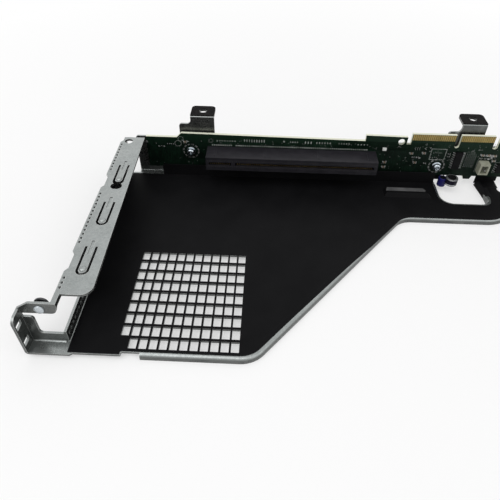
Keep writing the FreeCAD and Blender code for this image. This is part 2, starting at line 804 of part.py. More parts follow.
def build_ear(body):
    back_face = wall_front + sheet_t
    outer = -ear_reach
    pad(body, "ear_plate", YZ, outer, outer + sheet_t,
        chain((-ear_proud, -sheet_t), (back_face, -sheet_t), (back_face, ear_top),
              (-ear_proud, ear_top, ear_top_round)))
    pad(body, "ear_lips", XZ, wall_front, back_face,
        chain((outer, -sheet_t), (0, -sheet_t), (0, window_low),
              (-small_round, ear_lip_top, small_round),
              (outer + ear_side_lip, ear_lip_top, small_round),
              (outer + ear_side_lip, ear_side_lip_top, small_round),
              (outer, ear_side_lip_top)))
    pad(body, "ear_strap", XZ, wall_front, back_face,
        chain((outer, strap_low), (-sheet_t, strap_low, strap_round), (0, window_high),
              (0, flange_top),
              (outer + ear_side_lip, flange_top, small_round), (outer, ear_top)))
    cut(body, "ear_slots", YZ, outer - sheet_t, outer + sheet_t * 2,
        rectangle(ear_slot_y - ear_slot_long / 2, ear_slot_low_z - ear_slot_high / 2,
                  ear_slot_long, ear_slot_high),
        rectangle(ear_slot_y - ear_slot_long / 2, ear_slot_high_z - ear_slot_high / 2,
                  ear_slot_long, ear_slot_high))
    cut(body, "pin_hole", XZ, wall_front - sheet_t, back_face + sheet_t,
        disc(-pin_x, pin_z, pin_neck + pin_clear))


def build_back_wall(body):
    fold_top = inner_bend + fold_lap
    neck = lug_top - outer_bend - fold_lap
    left, right = lug_left_x, lug_right_x
    pad(body, "back_wall", XZ, back_front_face, back_rear_face,
        chain((back_left, inner_bend),
              (cutout_left, inner_bend),
              (cutout_left, cutout_top, small_round),
              (cutout_right, cutout_top, small_round),
              (cutout_right, inner_bend),
              (arm_x, inner_bend),
              (arm_x, back_top, small_round),
              (right + lug_w, back_top),
              (right + lug_w, neck),
              (right, neck),
              (right, foot_top, foot_round),
              (right - foot_w, foot_top, small_round),
              (right - foot_w, back_top),
              (left + lug_w, back_top),
              (left + lug_w, neck),
              (left, neck),
              (left, foot_top, foot_round),
              (left - foot_w, foot_top, small_round),
              (left - foot_w, back_top),
              (back_left, back_top, small_round)))
    fold = chain((back_fold - fold_lap, -sheet_t),
                 (back_rear_face, -sheet_t, outer_bend),
                 (back_rear_face, fold_top),
                 (back_front_face, fold_top),
                 (back_front_face, 0, inner_bend),
                 (back_fold - fold_lap, 0))
    pad(body, "back_fold_left", YZ, back_left, cutout_left, fold)
    pad(body, "back_fold_right", YZ, cutout_right, arm_x, fold)
    lug = chain((back_front_face, neck - fold_lap),
                (back_front_face, lug_top, crest_round),
                (lug_back, lug_top),
                (lug_back, lug_top - sheet_t),
                (back_rear_face, lug_top - sheet_t),
                (back_rear_face, neck - fold_lap))
    pad(body, "left_lug", YZ, left, left + lug_w, lug)
    pad(body, "right_lug", YZ, right, right + lug_w, lug)
    hole_y = back_front_face + lug_hole_in
    cut(body, "lug_holes", XY, lug_top - sheet_t * 2, lug_top + sheet_t,
        disc(left + lug_w / 2, hole_y, lug_hole_r), disc(right + lug_w / 2, hole_y, lug_hole_r))
    cut(body, "tail_window", XZ, back_front_face - sheet_t, back_rear_face + sheet_t,
        rectangle(tail_left, tail_low, tail_right - tail_left, tail_high - tail_low))
    cut(body, "screw_holes", XZ, back_front_face - sheet_t, back_rear_face + sheet_t,
        *screw_discs(screw_r + thread_gap))


def build_cage_frame():
    body = new_body("cage_frame")
    build_plate(body)
    build_side_wall(body)
    build_ear(body)
    outer_edge = (-ear_reach).value
    under = (-sheet_t).value

    def ear_folds(middle, edge):
        on_side = abs(middle.x - outer_edge) < 0.01 and abs(middle.z - under) < 0.01
        return on_side and edge.Length > sheet_t.value * 2

    round_edges(body, "ear_fold", outer_bend, ear_folds)
    build_rims(body)
    build_rib(body)
    build_back_wall(body)
    lug_end = lug_back.value

    def lug_corners(middle, edge):
        return abs(middle.y - lug_end) < 0.01 and abs(edge.Length - sheet_t.value) < 0.01

    round_edges(body, "lug_corners", lug_round, lug_corners)
    build_tongues(body)
    cut_vents(body)
    cut_grille(body, -sheet_t * 2, sheet_t)


# Insulating film on the plate

def build_film():
    body = new_body("insulator_film")
    edge = film_gap
    left = inner_bend + thread_gap
    front_plain = edge
    right, left_corner = cutout_corners(edge)
    pad(body, "film", XY, 0, film_t,
        chain((left, front_plain),
              (relief_x - edge, front_plain),
              (relief_x - edge, outer_bend + edge, inner_bend),
              *plate_corners(edge),
              (right_x - edge, right_shoulder_y, small_round),
              (arm_x - edge, arm_y, small_round),
              (arm_x - edge, back_fold - edge),
              (cutout_right + edge, back_fold - edge),
              right, left_corner,
              (cutout_left - edge, film_crease + film_t),
              (left, film_crease + film_t)))
    pad(body, "flap", XZ, film_crease, film_crease + film_t,
        chain((board_left + slot_wide, 0),
              (cutout_left - edge, 0),
              (cutout_left - edge, film_flap_top, small_round),
              (board_left + slot_wide, film_flap_top, small_round)))
    loft("PartDesign::AdditiveLoft", body, "film_rib",
         *rib_sketches(body, "film_rib", 0, rib_rise + film_t, film_t))
    loft("PartDesign::SubtractiveLoft", body, "film_rib_hollow",
         *rib_sketches(body, "film_rib_hollow", 0, rib_rise, 0))
    cut_grille(body, -film_t, film_t * 2)


# Pads on the two lugs

def build_lug_pads():
    body = new_body("lug_pads", 0, back_front_face, lug_top)
    outlines = [chain((x, crest_round), (x + lug_w, crest_round), (x + lug_w, lug_long, lug_round),
                      (x, lug_long, lug_round)) for x in (lug_left_x, lug_right_x)]
    holes = [disc(x + lug_w / 2, lug_hole_in, lug_hole_r) for x in (lug_left_x, lug_right_x)]
    pad(body, "pads", XY, 0, lug_pad_t, *outlines, *holes)


# Riser board

def build_board():
    body = new_body("riser_board")
    slit_round = finger_slit * SLIT_ROUND
    back = board_front + board_t

    def slit(x):
        return [(x + finger_slit, finger_top), (x + finger_slit, finger_slit_low, slit_round),
                (x, finger_slit_low, slit_round), (x, finger_top)]

    pad(body, "board", XZ, board_front, back,
        chain((board_left, board_low),
              (key_tab_x, board_low),
              (key_tab_x + small_round / 2, board_low - key_tab_drop),
              (key_tab_x + key_tab_w - small_round / 2, board_low - key_tab_drop),
              (key_tab_x + key_tab_w, board_low),
              (board_right, board_low, small_round),
              (board_right, notch_low, small_round),
              (finger_end, notch_low),
              (finger_end, finger_top),
              *slit(finger_gap_two),
              *slit(finger_gap_one),
              (finger_left, finger_top),
              (finger_left, notch_low),
              (shelf_right, notch_low),
              (shelf_right, shelf_top),
              (shelf_left, shelf_top + shelf_rise),
              (shelf_left, board_top_mid_end),
              (board_step_x + board_step_run, board_top_mid),
              (board_step_x, board_top_left),
              (board_left, board_top_left)))
    cut(body, "holes", XZ, board_front - board_t, back + board_t,
        disc(board_hole_x, board_hole_z, board_hole_r),
        *screw_discs(screw_r + board_clear))


def build_edge_contacts():
    body = new_body("edge_contacts")
    segments = ((finger_left, finger_gap_one), (finger_gap_one + finger_slit, finger_gap_two),
                (finger_gap_two + finger_slit, finger_end))
    front, back = board_front, board_front + board_t
    for number, (start, stop) in enumerate(segments, 1):
        room = (stop - start - contact_inset * 2 - contact_w).value
        count = int(room / contact_pitch.value) + 1
        drawing = rectangle(start + contact_inset, finger_top - contact_inset - contact_h,
                            contact_w, contact_h)
        for side, low in (("front", front - contact_t), ("back", back)):
            name = f"{side}_finger_{number}"
            finger = pad(body, name, XZ, low, low + contact_t, drawing)
            repeat(body, finger, name + "_row", "X_Axis", count, contact_pitch)


# Card slot

def build_slot():
    body = new_body("slot_housing", slot_left, board_front, slot_mid_z)
    pad(body, "housing", XZ, -slot_tall, 0,
        rectangle(0, -slot_wide / 2, slot_long, slot_wide))
    cut(body, "throat", XZ, -slot_tall - slot_tall, throat_deep - slot_tall,
        rectangle(throat_in, -throat_w / 2, key_x - throat_in, throat_w),
        rectangle(key_x + key_w, -throat_w / 2, slot_long - throat_in - key_x - key_w, throat_w))
    chamfer_deep = throat_w / 2
    cut(body, "lead_in", XZ, -slot_tall - slot_tall, chamfer_deep - slot_tall,
        rectangle(throat_in, -throat_w, slot_long - throat_in * 2, throat_w * 2))


def slot_contact_rows(body, start, stop, name):
    """Two facing rows of sprung contacts between two places along the throat."""
    count = int(((stop - start).value - cell_w.value) / cell_pitch.value) + 1
    top = throat_deep - slot_tall
    for side in (-1, 1):
        middle = (throat_w - cell_t) / 2 * side
        blade = pad(body, f"{name}_{'low' if side < 0 else 'high'}", XZ, top - cell_deep, top,
                    rectangle(start, middle - cell_t / 2, cell_w, cell_t))
        repeat(body, blade, blade.Name + "_row", "X_Axis", count, cell_pitch)


def build_slot_contacts():
    body = new_body("slot_contacts", slot_left, board_front, slot_mid_z)
    slot_contact_rows(body, throat_in + cell_w, key_x - cell_w, "short_row")
    slot_contact_rows(body, key_x + key_w + cell_w, slot_long - throat_in - cell_w, "long_row")


# Screws and spacers: a left and a right one of each, seated on the board

def screw_discs(radius):
    """A circle of one radius at each screw."""
    return [disc(x, z, radius) for x, z in SCREW_PLACES]


def screw_bars(width, height):
    """A bar of one size across each screw."""
    return [rectangle(x - width / 2, z - height / 2, width, height) for x, z in SCREW_PLACES]


def build_screws():
    """Washer-head screws with a cross recess."""
    body = new_body("board_screws", 0, board_front - washer_t, 0)
    tip = washer_t + board_t + spacer_long + sheet_t + screw_past
    pad(body, "heads", XZ, -head_t, 0, *screw_discs(head_r))
    pad(body, "washer_flanges", XZ, 0, washer_t, *screw_discs(washer_r))
    pad(body, "shanks", XZ, washer_t, tip, *screw_discs(screw_r))
    cut(body, "recess", XZ, -head_t * 2, recess_deep - head_t,
        *screw_bars(recess_r * 2, recess_w))
    cut(body, "recess_across", XZ, -head_t * 2, recess_deep - head_t,
        *screw_bars(recess_w, recess_r * 2))


def hexagon(x, z, across_flats):
    """A regular hexagon with two flats level."""
    half = across_flats / 2
    corner = across_flats / math.sqrt(3)
    return chain((x - corner, z), (x - corner / 2, z - half), (x + corner / 2, z - half),
                 (x + corner, z), (x + corner / 2, z + half), (x - corner / 2, z + half))


def build_spacers():
    body = new_body("board_spacers", 0, board_front + board_t, 0)
    pad(body, "spacers", XZ, 0, spacer_long,
        *[hexagon(x, z, spacer_flats) for x, z in SCREW_PLACES],
        *screw_discs(screw_r + board_clear))


def tilted_pad(x, z, turn):
    """One plated pad on the ring round a screw, turned from the ring's top."""
    side, up = math.sin(turn), math.cos(turn)

    def corner(across, out):
        return (x + (ground_ring + out) * side + across * up,
                z + (ground_ring + out) * up - across * side)

    half_w, half_h = ground_w / 2, ground_h / 2
    return chain(corner(-half_w, -half_h), corner(half_w, -half_h),
                 corner(half_w, half_h), corner(-half_w, half_h))


def build_ground_pads():
    body = new_body("screw_pads", 0, board_front, 0)
    step = 2 * math.pi / GROUND_PADS
    turns = [step * (index + 0.5) for index in range(GROUND_PADS)]
    pad(body, "ground_pads", XZ, -ground_t, 0,
        *[tilted_pad(x, z, turn) for x, z in SCREW_PLACES for turn in turns])


# Guide pin: riveted end, stem and mushroom head, turned round its own y axis

def build_guide_pin():
    body = new_body("guide_pin", -pin_x, wall_front, pin_z)
    out = sheet_t
    top = out + pin_stem
    turned(body, "pin", XY, "Y_Axis",
           chain((0, -pin_rivet_t), (pin_rivet_r, -pin_rivet_t), (pin_rivet_r, 0), (pin_neck, 0),
                 (pin_neck, top), (pin_head_r, top), (pin_head_r, top + pin_head_t / 2),
                 (pin_crown_r, top + pin_head_t), (0, top + pin_head_t)))


# Header, chips and small parts on the board's front face

def build_header():
    body = new_body("power_header", header_x, board_front, header_low)
    pad(body, "housing", XZ, -header_deep, 0, rectangle(0, 0, header_w, header_h))
    cut(body, "mouth", XZ, -header_deep * 2, -header_floor,
        rectangle(header_wall, header_wall, header_w - header_wall * 2, header_h - header_wall * 2))
    cut(body, "latch_notch", XZ, -header_deep * 2, -header_deep / 2,
        rectangle(header_w / 2 - header_wall, header_h - header_wall * 1.5,
                  header_wall * 2, header_wall * 2))


def build_header_pins():
    body = new_body("header_pins", header_x + header_w / 2, board_front, header_low + header_h / 2)
    first = pad(body, "header_pin", XZ, -header_deep + header_wall, -header_floor,
                rectangle(-header_pitch / 2 - header_pin / 2, -header_pin / 2,
                          header_pin, header_pin))
    repeat(body, first, "pins", "X_Axis", 2, header_pitch)


def build_chip(label, x, low, width, length):
    body = new_body(label, x, board_front - chip_stand, low)
    pad(body, "package", XZ, -chip_t, 0, rectangle(0, 0, width, length))


def build_leads(label, x, low, width, length, count):
    """Gull-wing leads down both long sides."""
    body = new_body(label, x, board_front, low)
    bend_out = lead_reach / 2
    first_z = (length - lead_pitch * (count - 1)) / 2 - lead_w / 2
    rise = chip_stand + chip_t / 2
    for side, edge, out in (("left", as_size(0), -1), ("right", as_size(width), 1)):
        section = chain((edge, -rise - lead_t / 2), (edge + bend_out * out, -rise - lead_t / 2),
                        (edge + bend_out * out, -lead_t), (edge + lead_reach * out, -lead_t),
                        (edge + lead_reach * out, 0), (edge + (bend_out - lead_t) * out, 0),
                        (edge + (bend_out - lead_t) * out, lead_t / 2 - rise),
                        (edge, lead_t / 2 - rise))
        lead = pad(body, side + "_lead", XY, first_z, first_z + lead_w, section)
        repeat(body, lead, side + "_leads", "Z_Axis", count, lead_pitch)


def build_can(label, x, low, radius, height):
    """A can capacitor held by a square lead that runs back to the board's lower edge."""
    body = new_body(label, x, board_front - can_gap - radius, low)
    turned(body, "can", XZ, "Z_Axis",
           rectangle(0, 0, radius, height))
    pad(body, "lead", XZ, 0, radius + can_gap,
        rectangle(-can_lead / 2, board_low - low + can_lead / 2, can_lead, can_lead))


def build_indicator():
    body = new_body("indicator", indicator_x, board_front, indicator_z)
    pad(body, "lens", XZ, -indicator_t, 0,
        rectangle(0, 0, indicator_w, indicator_h))


def build_small_parts(label, places, width, height, thickness):
    """One group of like surface parts, set on the board's face at the places listed."""
    body = new_body(label, 0, board_front, 0)
    drawings = [rectangle(x - as_size(width) / 2, z - as_size(height) / 2, width, height)
                for x, z in ((as_size(px), as_size(pz)) for px, pz in places)]
    pad(body, "parts", XZ, -thickness, 0, *drawings)


build_cage_frame()
build_film()
build_lug_pads()
build_board()
build_edge_contacts()
build_slot()
build_slot_contacts()
build_screws()
build_spacers()
build_ground_pads()
build_guide_pin()
build_header()
build_header_pins()
build_chip("controller_chip", chip_x, chip_low, chip_w, chip_long)
build_leads("controller_leads", chip_x, chip_low, chip_w, chip_long, CHIP_LEADS)
build_chip("driver_chip", driver_x, driver_low, driver_w, driver_long)
build_leads("driver_leads", driver_x, driver_low, driver_w, driver_long, DRIVER_LEADS)
build_can("capacitor_small", can_small_x, can_small_low, can_small_r, can_small_h)
build_can("capacitor_large", can_large_x, can_large_low, can_large_r, can_large_h)
build_indicator()
build_small_parts("ceramic_capacitors", CERAMIC_PLACES, ceramic_w, ceramic_h, ceramic_t)
build_small_parts("chip_resistors", RESISTOR_PLACES, resistor_w, resistor_h, resistor_t)

doc.recompute()

# Nothing is written unless every feature is sound
for item in doc.Objects:
    if "Invalid" in item.State or "Error" in item.State:
        raise RuntimeError(f"{item.Name} in {item.getParents()} is {item.State}")
os.makedirs("parts", exist_ok=True)
bodies = [item for item in doc.Objects if item.TypeId == "PartDesign::Body"]
for body in bodies:
    if body.Shape.isNull() or not body.Shape.isValid():
        raise RuntimeError(f"{body.Label} has no valid shape")
for body in bodies:
    body.Shape.exportStep(f"parts/{body.Label}.step")
    print(f"{body.Label}: {len(body.Shape.Solids)} solids, {body.Shape.Volume:.1f} mm3")
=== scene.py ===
import json
import math
import random

import bmesh
import bpy
from mathutils import Matrix, Vector


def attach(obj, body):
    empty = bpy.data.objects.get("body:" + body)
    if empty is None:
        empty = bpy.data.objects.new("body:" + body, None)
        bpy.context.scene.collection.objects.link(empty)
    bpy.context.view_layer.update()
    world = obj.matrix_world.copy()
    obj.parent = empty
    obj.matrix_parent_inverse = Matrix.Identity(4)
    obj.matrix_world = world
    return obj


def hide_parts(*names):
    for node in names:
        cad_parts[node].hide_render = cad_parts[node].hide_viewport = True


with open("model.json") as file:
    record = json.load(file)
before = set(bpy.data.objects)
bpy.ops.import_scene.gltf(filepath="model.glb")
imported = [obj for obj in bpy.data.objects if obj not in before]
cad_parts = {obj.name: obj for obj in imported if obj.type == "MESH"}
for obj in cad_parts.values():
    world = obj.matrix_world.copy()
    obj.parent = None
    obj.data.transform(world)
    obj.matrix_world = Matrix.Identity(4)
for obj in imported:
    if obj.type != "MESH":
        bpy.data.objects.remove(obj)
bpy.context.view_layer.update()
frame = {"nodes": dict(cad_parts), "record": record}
nodes = frame["nodes"]
MM = 0.001

# Datum of the measured sizes, in the part's own frame: the side wall's inner face, the plate's
# front edge and the plate's top face, in millimetres
DATUM = Vector((-100.8, -66.4, 2.8))

# Places on the board, in millimetres from the datum
BOARD_FRONT = 120.2
BOARD_BACK = 121.8
SCREWS = ((33.8, 15.0), (165.5, 10.6))
SLOT_X = 42.8
SLOT_LONG = 89.0
SLOT_Z = 14.5
SLOT_WIDE = 7.5
SLOT_TALL = 11.0
THROAT_WIDE = 1.8
THROAT_DEEP = 8.3
KEY = (13.2, 15.1)
FINGER_RUNS = ((149.0, 171.5), (174.0, 191.2), (193.7, 214.5))
FINGER_Z = 27.3
FINGER_WIDE = 0.7
FINGER_TALL = 3.3

# Places on the cage, in millimetres from the datum
FLANGE_TOP = 22.3
TONGUE_X = 4.9
DIMPLES_Y = (23.5, 52.5, 82.5)
LIP_BACK = 5.4
STRAP_FACE = 6.0
PIN_PLACE = (-6.7, LIP_BACK, 19.0)
CUTOUT_LEFT = 166.3
CUTOUT_RIGHT = 193.3
CUTOUT_FRONT = 100.4
CUTOUT_ROUNDS = (7.5, 5.5)
FILM_TOP = 0.3
WALL_FILM = (122.6, 122.95)
WALL_FILM_TOP = 6.0

# The outer bend's top edge: along the diagonal, round the elbow, along the bar and its end
BAR_Y = 89.7
DIAGONAL_FOOT = Vector((72.0, 4.2))
DIAGONAL_HEAD = Vector((143.2, BAR_Y))
BAR_END_X = 186.8
ELBOW_RADIUS = 12.0
CORNER_RADIUS = 16.5
BEND_RADIUS = 1.8
BEND_DROP = 1.5

# Fine grain of the plain surfaces, as a noise scale
GRIT_SCALE = 2200


def at(x, y, z):
    """A point given from the datum in millimetres, in metres in the part's frame."""
    return (Vector((x, y, z)) + DATUM) * MM


# Materials

def new_material(name):
    """An empty node material."""
    material = bpy.data.materials.new(name)
    material.use_nodes = True
    material.node_tree.nodes.clear()
    return material


class Graph:
    """Short ways to add and join the shader nodes of a material or a world."""

    def __init__(self, owner):
        self.tree = owner.node_tree

    def add(self, kind, **values):
        node = self.tree.nodes.new(kind)
        for key, value in values.items():
            setattr(node, key, value)
        return node

    def link(self, source, target):
        self.tree.links.new(source, target)

    def feed(self, value, socket):
        """Join a socket to another socket, or write a plain value or colour to it."""
        if isinstance(value, bpy.types.NodeSocket):
            self.link(value, socket)
        elif isinstance(value, tuple):
            socket.default_value = (*value, 1.0)
        else:
            socket.default_value = value

    def position(self, scale=(1, 1, 1)):
        """Object coordinates with a scale of their own along each axis."""
        coordinates = self.add("ShaderNodeTexCoord")
        mapping = self.add("ShaderNodeMapping")
        mapping.inputs["Scale"].default_value = scale
        self.link(coordinates.outputs["Object"], mapping.inputs["Vector"])
        return mapping.outputs["Vector"]

    def axis(self, vector, name):
        """One part of a vector."""
        node = self.add("ShaderNodeSeparateXYZ")
        self.link(vector, node.inputs["Vector"])
        return node.outputs[name]

    def noise(self, vector, scale, detail, rough, distortion=0.0):
        """A cloudy grey."""
        node = self.add("ShaderNodeTexNoise")
        node.inputs["Scale"].default_value = scale
        node.inputs["Detail"].default_value = detail
        node.inputs["Roughness"].default_value = rough
        node.inputs["Distortion"].default_value = distortion
        self.link(vector, node.inputs["Vector"])
        return node.outputs["Fac"]

    def cells(self, vector, scale):
        """A random grey for each crystal-like cell."""
        node = self.add("ShaderNodeTexVoronoi")
        node.inputs["Scale"].default_value = scale
        self.link(vector, node.inputs["Vector"])
        return self.axis(node.outputs["Color"], "X")

    def ramp(self, value, stops):
        """A colour ramp from (place, colour) stops."""
        node = self.add("ShaderNodeValToRGB")
        elements = node.color_ramp.elements
        while len(elements) < len(stops):
            elements.new(0.5)
        for element, (place, colour) in zip(elements, stops):
            element.position = place
            element.color = (*colour, 1.0)
        self.link(value, node.inputs["Fac"])
        return node.outputs["Color"]

    def span(self, value, low, high, from_low=0.0, from_high=1.0):
        """A value mapped to a range."""
        node = self.add("ShaderNodeMapRange")
        node.inputs["From Min"].default_value = from_low
        node.inputs["From Max"].default_value = from_high
        node.inputs["To Min"].default_value = low
        node.inputs["To Max"].default_value = high
        self.link(value, node.inputs["Value"])
        return node.outputs["Result"]

    def mix(self, factor, first, second):
        """Two colours mixed by a factor; each may be a socket or a plain colour."""
        node = self.add("ShaderNodeMix", data_type="RGBA")
        self.feed(factor, node.inputs[0])
        colours = [s for s in node.inputs if s.type == "RGBA"]
        for socket, value in zip(colours, (first, second)):
            self.feed(value, socket)
        return [s for s in node.outputs if s.type == "RGBA"][0]

    def seen(self):
        """1 where the camera sees a surface straight, in a reflection or through glass."""
        path = self.add("ShaderNodeLightPath")
        either = self.math("MAXIMUM", path.outputs["Is Camera Ray"],
                           path.outputs["Is Glossy Ray"])
        return self.math("MAXIMUM", either, path.outputs["Is Transmission Ray"])

    def math(self, operation, first, second=0.0):
        """One step of arithmetic; each side may be a socket or a plain value."""
        node = self.add("ShaderNodeMath", operation=operation)
        self.feed(first, node.inputs[0])
        self.feed(second, node.inputs[1])
        return node.outputs["Value"]

    def normal_axis(self, name):
        """How far a face looks along one axis, either way."""
        geometry = self.add("ShaderNodeNewGeometry")
        return self.math("ABSOLUTE", self.axis(geometry.outputs["True Normal"], name))

    def edge(self, radius):
        """1 on sharp edges and 0 on flats, from a bevelled normal against the true one."""
        bevel = self.add("ShaderNodeBevel", samples=4)
        bevel.inputs["Radius"].default_value = radius
        geometry = self.add("ShaderNodeNewGeometry")
        dot = self.add("ShaderNodeVectorMath", operation="DOT_PRODUCT")
        self.link(bevel.outputs["Normal"], dot.inputs[0])
        self.link(geometry.outputs["True Normal"], dot.inputs[1])
        return self.span(dot.outputs["Value"], 1.0, 0.0, 0.75, 1.0)

    def bump(self, height, strength, distance):
        """A normal from a height."""
        node = self.add("ShaderNodeBump")
        node.inputs["Strength"].default_value = strength
        node.inputs["Distance"].default_value = distance
        self.link(height, node.inputs["Height"])
        return node.outputs["Normal"]

    def surface(self, colour, roughness, normal, metallic=0.0, **constants):
        """The one shader of a material, joined to its output."""
        shader = self.add("ShaderNodeBsdfPrincipled")
        self.feed(colour, shader.inputs["Base Color"])
        self.feed(roughness, shader.inputs["Roughness"])
        self.feed(metallic, shader.inputs["Metallic"])
        self.link(normal, shader.inputs["Normal"])
        for name, value in constants.items():
            shader.inputs[name.replace("_", " ")].default_value = value
        output = self.add("ShaderNodeOutputMaterial")
        self.link(shader.outputs["BSDF"], output.inputs["Surface"])


def zinc():
    """Zinc plate: spangle and rolling lines, upright faces darkened as painted shade, and edges
    lightened partly as wear and partly as a painted highlight.
    """
    material = new_material("zinc_plate")
    g = Graph(material)
    cloud = g.noise(g.position(), 90, 5, 0.6, 0.3)
    spangle = g.cells(g.position(), 1100)
    fine_spangle = g.cells(g.position(), 1900)
    rolled = g.noise(g.position((1, 30, 1)), 160, 3, 0.6)
    speck = g.noise(g.position(), 2600, 2, 0.5)
    base = g.ramp(cloud, [(0.3, (0.265, 0.285, 0.28)), (0.55, (0.32, 0.34, 0.335)),
                          (0.78, (0.37, 0.385, 0.375))])
    crystal = g.mix(g.span(spangle, 0.0, 0.42), base, (0.20, 0.215, 0.215))
    grain = g.mix(g.span(fine_spangle, 0.0, 0.30), crystal, (0.40, 0.42, 0.41))
    lined = g.mix(g.span(rolled, 0.0, 0.35, 0.45, 0.75), grain, (0.22, 0.235, 0.235))
    # Upright faces get a darker colour than level ones, chosen by their normal: painted shade.
    upright = g.mix(g.span(rolled, 0.0, 1.0, 0.3, 0.7), (0.085, 0.09, 0.088), (0.15, 0.155, 0.15))
    with_painted_shade = g.mix(g.span(g.normal_axis("Z"), 0.0, 1.0, 0.3, 0.9), upright, lined)
    # Edges are lightened partly as wear and partly as a painted highlight.
    edge_lightened = g.mix(g.math("MULTIPLY", g.edge(0.00035), 0.8), with_painted_shade, (0.66, 0.67, 0.66))
    rough = g.math("ADD", g.span(cloud, 0.20, 0.32), g.span(spangle, 0.0, 0.08))
    height = g.math("ADD", g.math("MULTIPLY", spangle, 0.5), g.math("MULTIPLY", speck, 0.5))
    g.surface(edge_lightened, rough, g.bump(height, 0.22, 0.0002), metallic=0.9)
    return material


def plain(name, dark, light, rough, metallic=0.0, scale=300, relief=0.1, edge_colour=None,
          edge_radius=0.0002, **constants):
    """A cloudy two-tone surface with fine relief and, if asked, lighter edges."""
    material = new_material(name)
    g = Graph(material)
    cloud = g.noise(g.position(), scale, 5, 0.6, 0.2)
    grit = g.noise(g.position(), GRIT_SCALE, 3, 0.6)
    colour = g.ramp(cloud, [(0.3, dark), (0.7, light)])
    if edge_colour:
        colour = g.mix(g.math("MULTIPLY", g.edge(edge_radius), 0.6), colour, edge_colour)
    roughness = g.math("ADD", g.span(cloud, rough[0], rough[1]), g.span(grit, 0.0, 0.06))
    g.surface(colour, roughness, g.bump(grit, relief, 0.0001), metallic=metallic, **constants)
    return material


def board_mask():
    """Dark green mask with buried copper showing as faint lines, and bare pale laminate edges."""
    material = new_material("green_mask")
    g = Graph(material)
    place = g.position()
    cloud = g.noise(place, 110, 5, 0.6, 0.2)
    buried = g.noise(g.position((6, 1, 1)), 420, 2, 0.5)
    weave = g.noise(g.position((1, 1, 6)), 900, 2, 0.5)
    mask = g.ramp(cloud, [(0.32, (0.0016, 0.0040, 0.0026)), (0.68, (0.0034, 0.0095, 0.0056))])
    copper = g.mix(g.span(buried, 0.0, 0.7, 0.52, 0.60), mask, (0.005, 0.018, 0.010))
    height_up = g.axis(place, "Z")
    top_band = g.span(height_up, 0.0, 0.75, 0.0215, 0.0265)
    banded = g.mix(top_band, copper, (0.006, 0.019, 0.010))
    laminate = g.mix(g.span(weave, 0.2, 0.8), (0.66, 0.68, 0.54), (0.84, 0.85, 0.72))
    sides = g.span(g.normal_axis("Y"), 1.0, 0.0, 0.4, 0.6)
    colour = g.mix(sides, banded, laminate)
    rough = g.math("ADD", g.span(cloud, 0.32, 0.44), g.span(weave, 0.0, 0.06))
    height = g.math("ADD", g.math("MULTIPLY", buried, 0.6), g.math("MULTIPLY", weave, 0.3))
    g.surface(colour, rough, g.bump(height, 0.15, 0.0001), Specular_IOR_Level=0.10)
    return material


def pin_steel():
    """A bright riveted end in front of the strap and a head behind the strap's face, coloured near
    black.
    """
    material = new_material("pin_steel")
    g = Graph(material)
    place = g.position()
    cloud = g.noise(place, 500, 4, 0.6)
    turned = g.noise(g.position((1, 30, 1)), 260, 2, 0.5)
    bright = g.ramp(cloud, [(0.3, (0.42, 0.46, 0.49)), (0.7, (0.62, 0.66, 0.68))])
    black = g.ramp(cloud, [(0.3, (0.035, 0.036, 0.038)), (0.7, (0.09, 0.092, 0.096))])
    strap_y = (STRAP_FACE + DATUM.y) * MM
    behind = g.span(g.axis(place, "Y"), 0.0, 1.0, strap_y, strap_y + 0.0002)
    colour = g.mix(behind, bright, black)
    edge_lightened = g.mix(g.math("MULTIPLY", g.edge(0.0003), 0.35), colour, (0.6, 0.62, 0.64))
    rough = g.math("ADD", g.span(cloud, 0.25, 0.4), g.span(turned, 0.0, 0.08))
    g.surface(edge_lightened, rough, g.bump(turned, 0.15, 0.0001), metallic=0.85)
    return material


